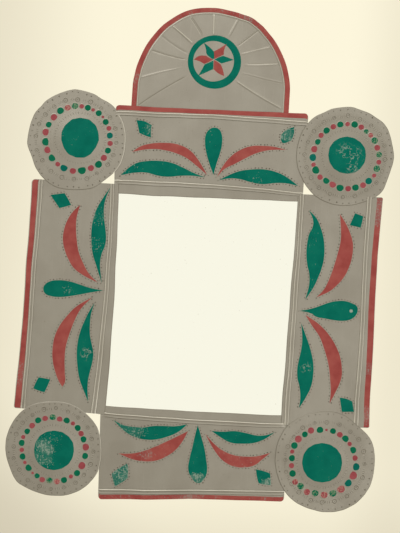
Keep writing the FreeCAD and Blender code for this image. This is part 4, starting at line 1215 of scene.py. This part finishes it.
rim_outline = [(5.55, 0.06), (5.4, -0.06), (0.4, -0.07), (0.05, 0.08), (0.0, 0.38), (0.06, 0.43)]
rim_start, rim_stop = math.radians(-36), math.radians(216)
RIM_STEPS = 252
crest_red = draw_out("crest_red_rim", rim_outline, range(RIM_STEPS + 1))
for vertex in crest_red.data.vertices:
    inset, depth, step = vertex.co
    angle = rim_start + (rim_stop - rim_start) * step / RIM_STEPS
    vertex.co = Vector(crest_ring(inset, depth)(angle)[:3]) * MM
close_up(crest_red, 50)
dress(crest_red, red_enamel)


# Crest's painted ring and star. A green ring, drawn by hand and thicker below, round a star of
# six petals, green and red by turns. Read from one enlarged view of the photograph.
STAR_VIEW = ((180, 25), 22.4)
RING_STEPS = 144
RING_OUTER = 29.4
RING_INNER = 22.3
RING_SWAY = 0.35

PETALS = (
    ("upper_left", "green", [[(552, 420), (690, 520)], [(762, 600), (768, 680), (748, 756), (668, 716),
        (598, 645), (582, 540)]]),
    ("upper_right", "red", [[(1024, 444), (990, 560)], [(978, 664), (880, 706)], [(766, 760), (764, 680)],
        [(762, 592), (900, 516)]]),
    ("right", "green", [[(1174, 778), (1060, 822)], [(928, 858), (860, 818)], [(774, 770), (876, 722)],
        [(962, 690), (1060, 722)]]),
    ("lower_right", "red", [[(988, 1144), (860, 1080)], [(752, 988), (756, 880)], [(764, 784), (850, 834)],
        [(918, 890), (962, 1010)]]),
    ("lower_left", "green", [[(430, 1116), (490, 1000)], [(552, 882), (650, 840)], [(748, 796), (748, 900)],
        [(742, 988), (580, 1060)]]),
    ("left", "red", [[(312, 770), (430, 692)], [(580, 686), (640, 725)], [(738, 772), (640, 828)],
        [(540, 870), (470, 825)]]),
)
for name, paint, sides in PETALS:
    placed = [seen(side, *STAR_VIEW) for side in sides]
    enamel_figure("crest_petal_" + name, placed, CREST_FRONT, paints[paint])

ring_outer, ring_inner = seen([(772, 826), (752, 812)], *STAR_VIEW)
bpy.ops.mesh.primitive_circle_add(vertices=RING_STEPS, radius=1, fill_type="NOTHING", rotation=UPRIGHT)
crest_ring_paint = newest("crest_green_ring")
bpy.ops.object.transform_apply(location=False, rotation=True, scale=False)
open_mesh()
ring_rows = ((0, 0.02), (0.03, -0.06), (0.35, -0.09), (0.65, -0.09), (0.97, -0.06), (1, 0.02))
for row in ring_rows[1:]:
    bpy.ops.mesh.extrude_region_move()
bpy.ops.object.mode_set(mode="OBJECT")
for index, vertex in enumerate(crest_ring_paint.data.vertices):
    angle = math.atan2(vertex.co.z, vertex.co.x)
    share, lift = ring_rows[index // RING_STEPS]
    sway = RING_SWAY * noise.noise(Vector((math.cos(angle) * 1.5, math.sin(angle) * 1.5, 3)))
    outer = ring_outer + towards(angle) * (RING_OUTER + sway)
    spot = outer.lerp(ring_inner + towards(angle) * (RING_INNER - sway), share)
    vertex.co = Vector((spot.x, CREST_FRONT + lift, spot.y)) * MM
close_up(crest_ring_paint, 40)
dress(crest_ring_paint, green_enamel)


# Mirror. A plain pane of silvered glass with ground edges, and the brown card that is packed
# behind it to keep its silvering from the back plate.
PANE_ARRIS = 0.0004
pane_low, pane_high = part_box("mirror_glass")
bpy.ops.mesh.primitive_cube_add(size=1, location=(pane_low + pane_high) / 2)
pane = newest("mirror_pane")
pane.scale = pane_high - pane_low
bpy.ops.object.transform_apply()
open_mesh()
bpy.ops.mesh.bevel(offset=PANE_ARRIS, segments=2)
bpy.ops.object.mode_set(mode="OBJECT")
close_up(pane, 15)
silvered = finish("silvered glass", 1.0, lambda p: (
    (p.cloud(0.0016, 2).rise(0.72, 0.76) * p.cloud(0.03).rise(0.5, 0.62) * 0.5).tint(
        colour(251, 252, 250), colour(170, 160, 140)), p.cloud(0.05) * 0.02 + 0.01, None, 0))
dress(pane, silvered)
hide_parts("mirror_glass")


def refinish(name, material):
    """Gives a CAD node a better material."""
    cad[name].data.materials.clear()
    cad[name].data.materials.append(material)


card = finish("packing card", 0.0, lambda p: (
    (p.cloud(0.003, 6, 0.7).rise(0.35, 0.7) * 0.6).tint(colour(150, 128, 96), colour(120, 100, 74)),
    p.cloud(0.002) * 0.1 + 0.82, p.cloud(0.0012, 4, 0.7), 0.0002))
refinish("packing_card", card)


# Folded work behind. Back plate, channels, retaining tabs, crest braces and the hanger's strap
# are the frame's own tinplate, brighter where no light reached it; the ring is iron wire.
back_tin = finish("tinplate behind", 0.85, lambda p: (
    (p.cloud(0.03, 5).rise(0.35, 0.7) * 0.45).tint(colour(162, 157, 145), colour(136, 129, 113)),
    p.cloud(0.02, 4) * 0.25 + 0.3, p.cloud(0.02, 3) + p.cloud(0.002, 2) * 0.08, 0.0004))
for name in ("back_plate", "left_channel", "right_channel", "bottom_channel", "left_retaining_tab",
             "right_retaining_tab", "left_crest_brace", "right_crest_brace", "hanger_strap"):
    refinish(name, back_tin)

wire = finish("iron wire", 0.9, lambda p: (
    p.cloud(0.004, 5, 0.7).rise(0.4, 0.65).tint(colour(120, 112, 100), colour(92, 70, 52)),
    p.cloud(0.003, 4) * 0.3 + 0.3, p.cloud(0.0012, 3), 0.00015))
refinish("hanger_ring", wire)


# Solder. Tin and lead run into every joint with a hot iron: low, rounded, a little lumpy, and
# duller than the sheet.
SOLDER_ROUND = 0.00035
solder = finish("soft solder", 0.85, lambda p: (
    p.cloud(0.004, 4).rise(0.35, 0.65).tint(colour(150, 150, 148), colour(112, 110, 106)),
    p.cloud(0.003, 4) * 0.3 + 0.35, p.cloud(0.0025, 3), 0.0003))
for name in ("disc_solder", "lap_solder", "channel_solder", "crest_solder", "hanger_solder"):
    run = cad[name].copy()
    run.data = cad[name].data.copy()
    run.name = name + "_runs"
    run.parent = None
    for key in [k for k in run.keys() if k.startswith("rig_")]:
        del run[key]
    bpy.context.scene.collection.objects.link(run)
    close_up(run, 40)
    bpy.context.view_layer.objects.active = run
    run.select_set(True)
    rounding = run.modifiers.new("rounding", "BEVEL")
    rounding.width = SOLDER_ROUND
    rounding.segments = 3
    bpy.ops.object.modifier_apply(modifier="rounding")
    dress(run, solder)
    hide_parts(name)
    bpy.ops.object.select_all(action="DESELECT")


# Room. A pale floor far below the hanging mirror, pale all round, one soft lamp at the upper
# left in front, one at the lower right in front and one high up behind.
FLOOR_LEVEL = -0.62
bpy.ops.mesh.primitive_circle_add(vertices=96, radius=1.25, fill_type="NGON", location=(0, 0, FLOOR_LEVEL))
floor = newest("floor")
pale = finish("pale floor", 0.0, lambda p: (
    p.cloud(0.5).tint(colour(232, 226, 206), colour(240, 234, 214)), p.cloud(0.2) * 0.1 + 0.8, None, 0))
floor.data.materials.append(pale)

world = bpy.data.worlds.new("room")
bpy.context.scene.world = world
world.use_nodes = True
tree = world.node_tree
tree.nodes.clear()
way = Shade(tree).node("TexCoord", outlet="Generated")
height = way.node("SeparateXYZ", {0: way}, outlet=2)
aside = way.node("SeparateXYZ", {0: way}, outlet=0)
path = Shade(tree).node("LightPath", outlet="Is Camera Ray")
glossy = Shade(tree).node("LightPath", outlet="Is Glossy Ray")
through_glass = Shade(tree).node("LightPath", outlet="Is Transmission Ray")
sides = (aside.rise(-0.115, -0.04) * 0.55 + 0.45) * (1 - aside.rise(0.06, 0.095) * 0.35)
foot = height.rise(-0.135, -0.085) * 0.45 + 0.55
corner = (height + aside * 0.8).rise(-0.2, -0.12) * 0.8 + 0.2
backdrop = (sides * foot * corner).tint(colour(208, 199, 176), colour(253, 246, 220))
room = (height - aside * 0.5).rise(-1.15, -0.4).tint(colour(150, 146, 132), colour(252, 249, 233))
sight = path.tint(room, backdrop)
lit = Shade(tree).node("Background", {"Color": colour(255, 250, 240), "Strength": 0.42})
shown = Shade(tree).node("Background", {"Color": sight, "Strength": 1.0})
either = way.node("Clamp", {0: path + glossy + through_glass})
both = way.node("MixShader", {0: either, 1: lit, 2: shown})
output = tree.nodes.new("ShaderNodeOutputWorld")
tree.links.new(both.socket, output.inputs["Surface"])


def soft_lamp(name, place, size, watts):
    """A square soft lamp that faces the middle of the mirror."""
    bpy.ops.object.light_add(type="AREA", location=place)
    lamp = newest(name)
    lamp.data.shape = "SQUARE"
    lamp.data.size = size
    lamp.data.energy = watts
    aim = Vector((0, 0, 0.05)) - Vector(place)
    lamp.rotation_euler = aim.to_track_quat("-Z", "Y").to_euler()


soft_lamp("key_lamp", (-0.4, -1.65, 1.35), 0.9, 14.5)
soft_lamp("side_lamp", (0.9, -1.5, -0.8), 1.0, 12)
soft_lamp("back_lamp", (0.9, 1.9, 1.2), 1.2, 16)


# Camera. Straight in front with a long lens, rolled so that the mirror hangs 3.5 degrees off
# plumb as it does in the photograph: 1.1 mm to a pixel at the front of the frame.
CAMERA_AWAY = 2.4
IMAGE = (400, 533)
SENSOR = 36.0
FACE = -0.0045  # front of the top and bottom panels
middle = on_object(IMAGE[0] / 2, IMAGE[1] / 2) * MM
bpy.ops.object.camera_add(location=(middle.x, FACE - CAMERA_AWAY, middle.y))
camera = newest("camera")
camera.data.sensor_width = SENSOR
camera.data.lens = SENSOR * CAMERA_AWAY / (IMAGE[1] * PIXEL * MM)
camera.rotation_euler = (Matrix.Rotation(math.pi / 2, 3, "X") @ Matrix.Rotation(TURN, 3, "Z")).to_euler()
bpy.context.scene.camera = camera
bpy.context.scene.view_settings.view_transform = "Standard"
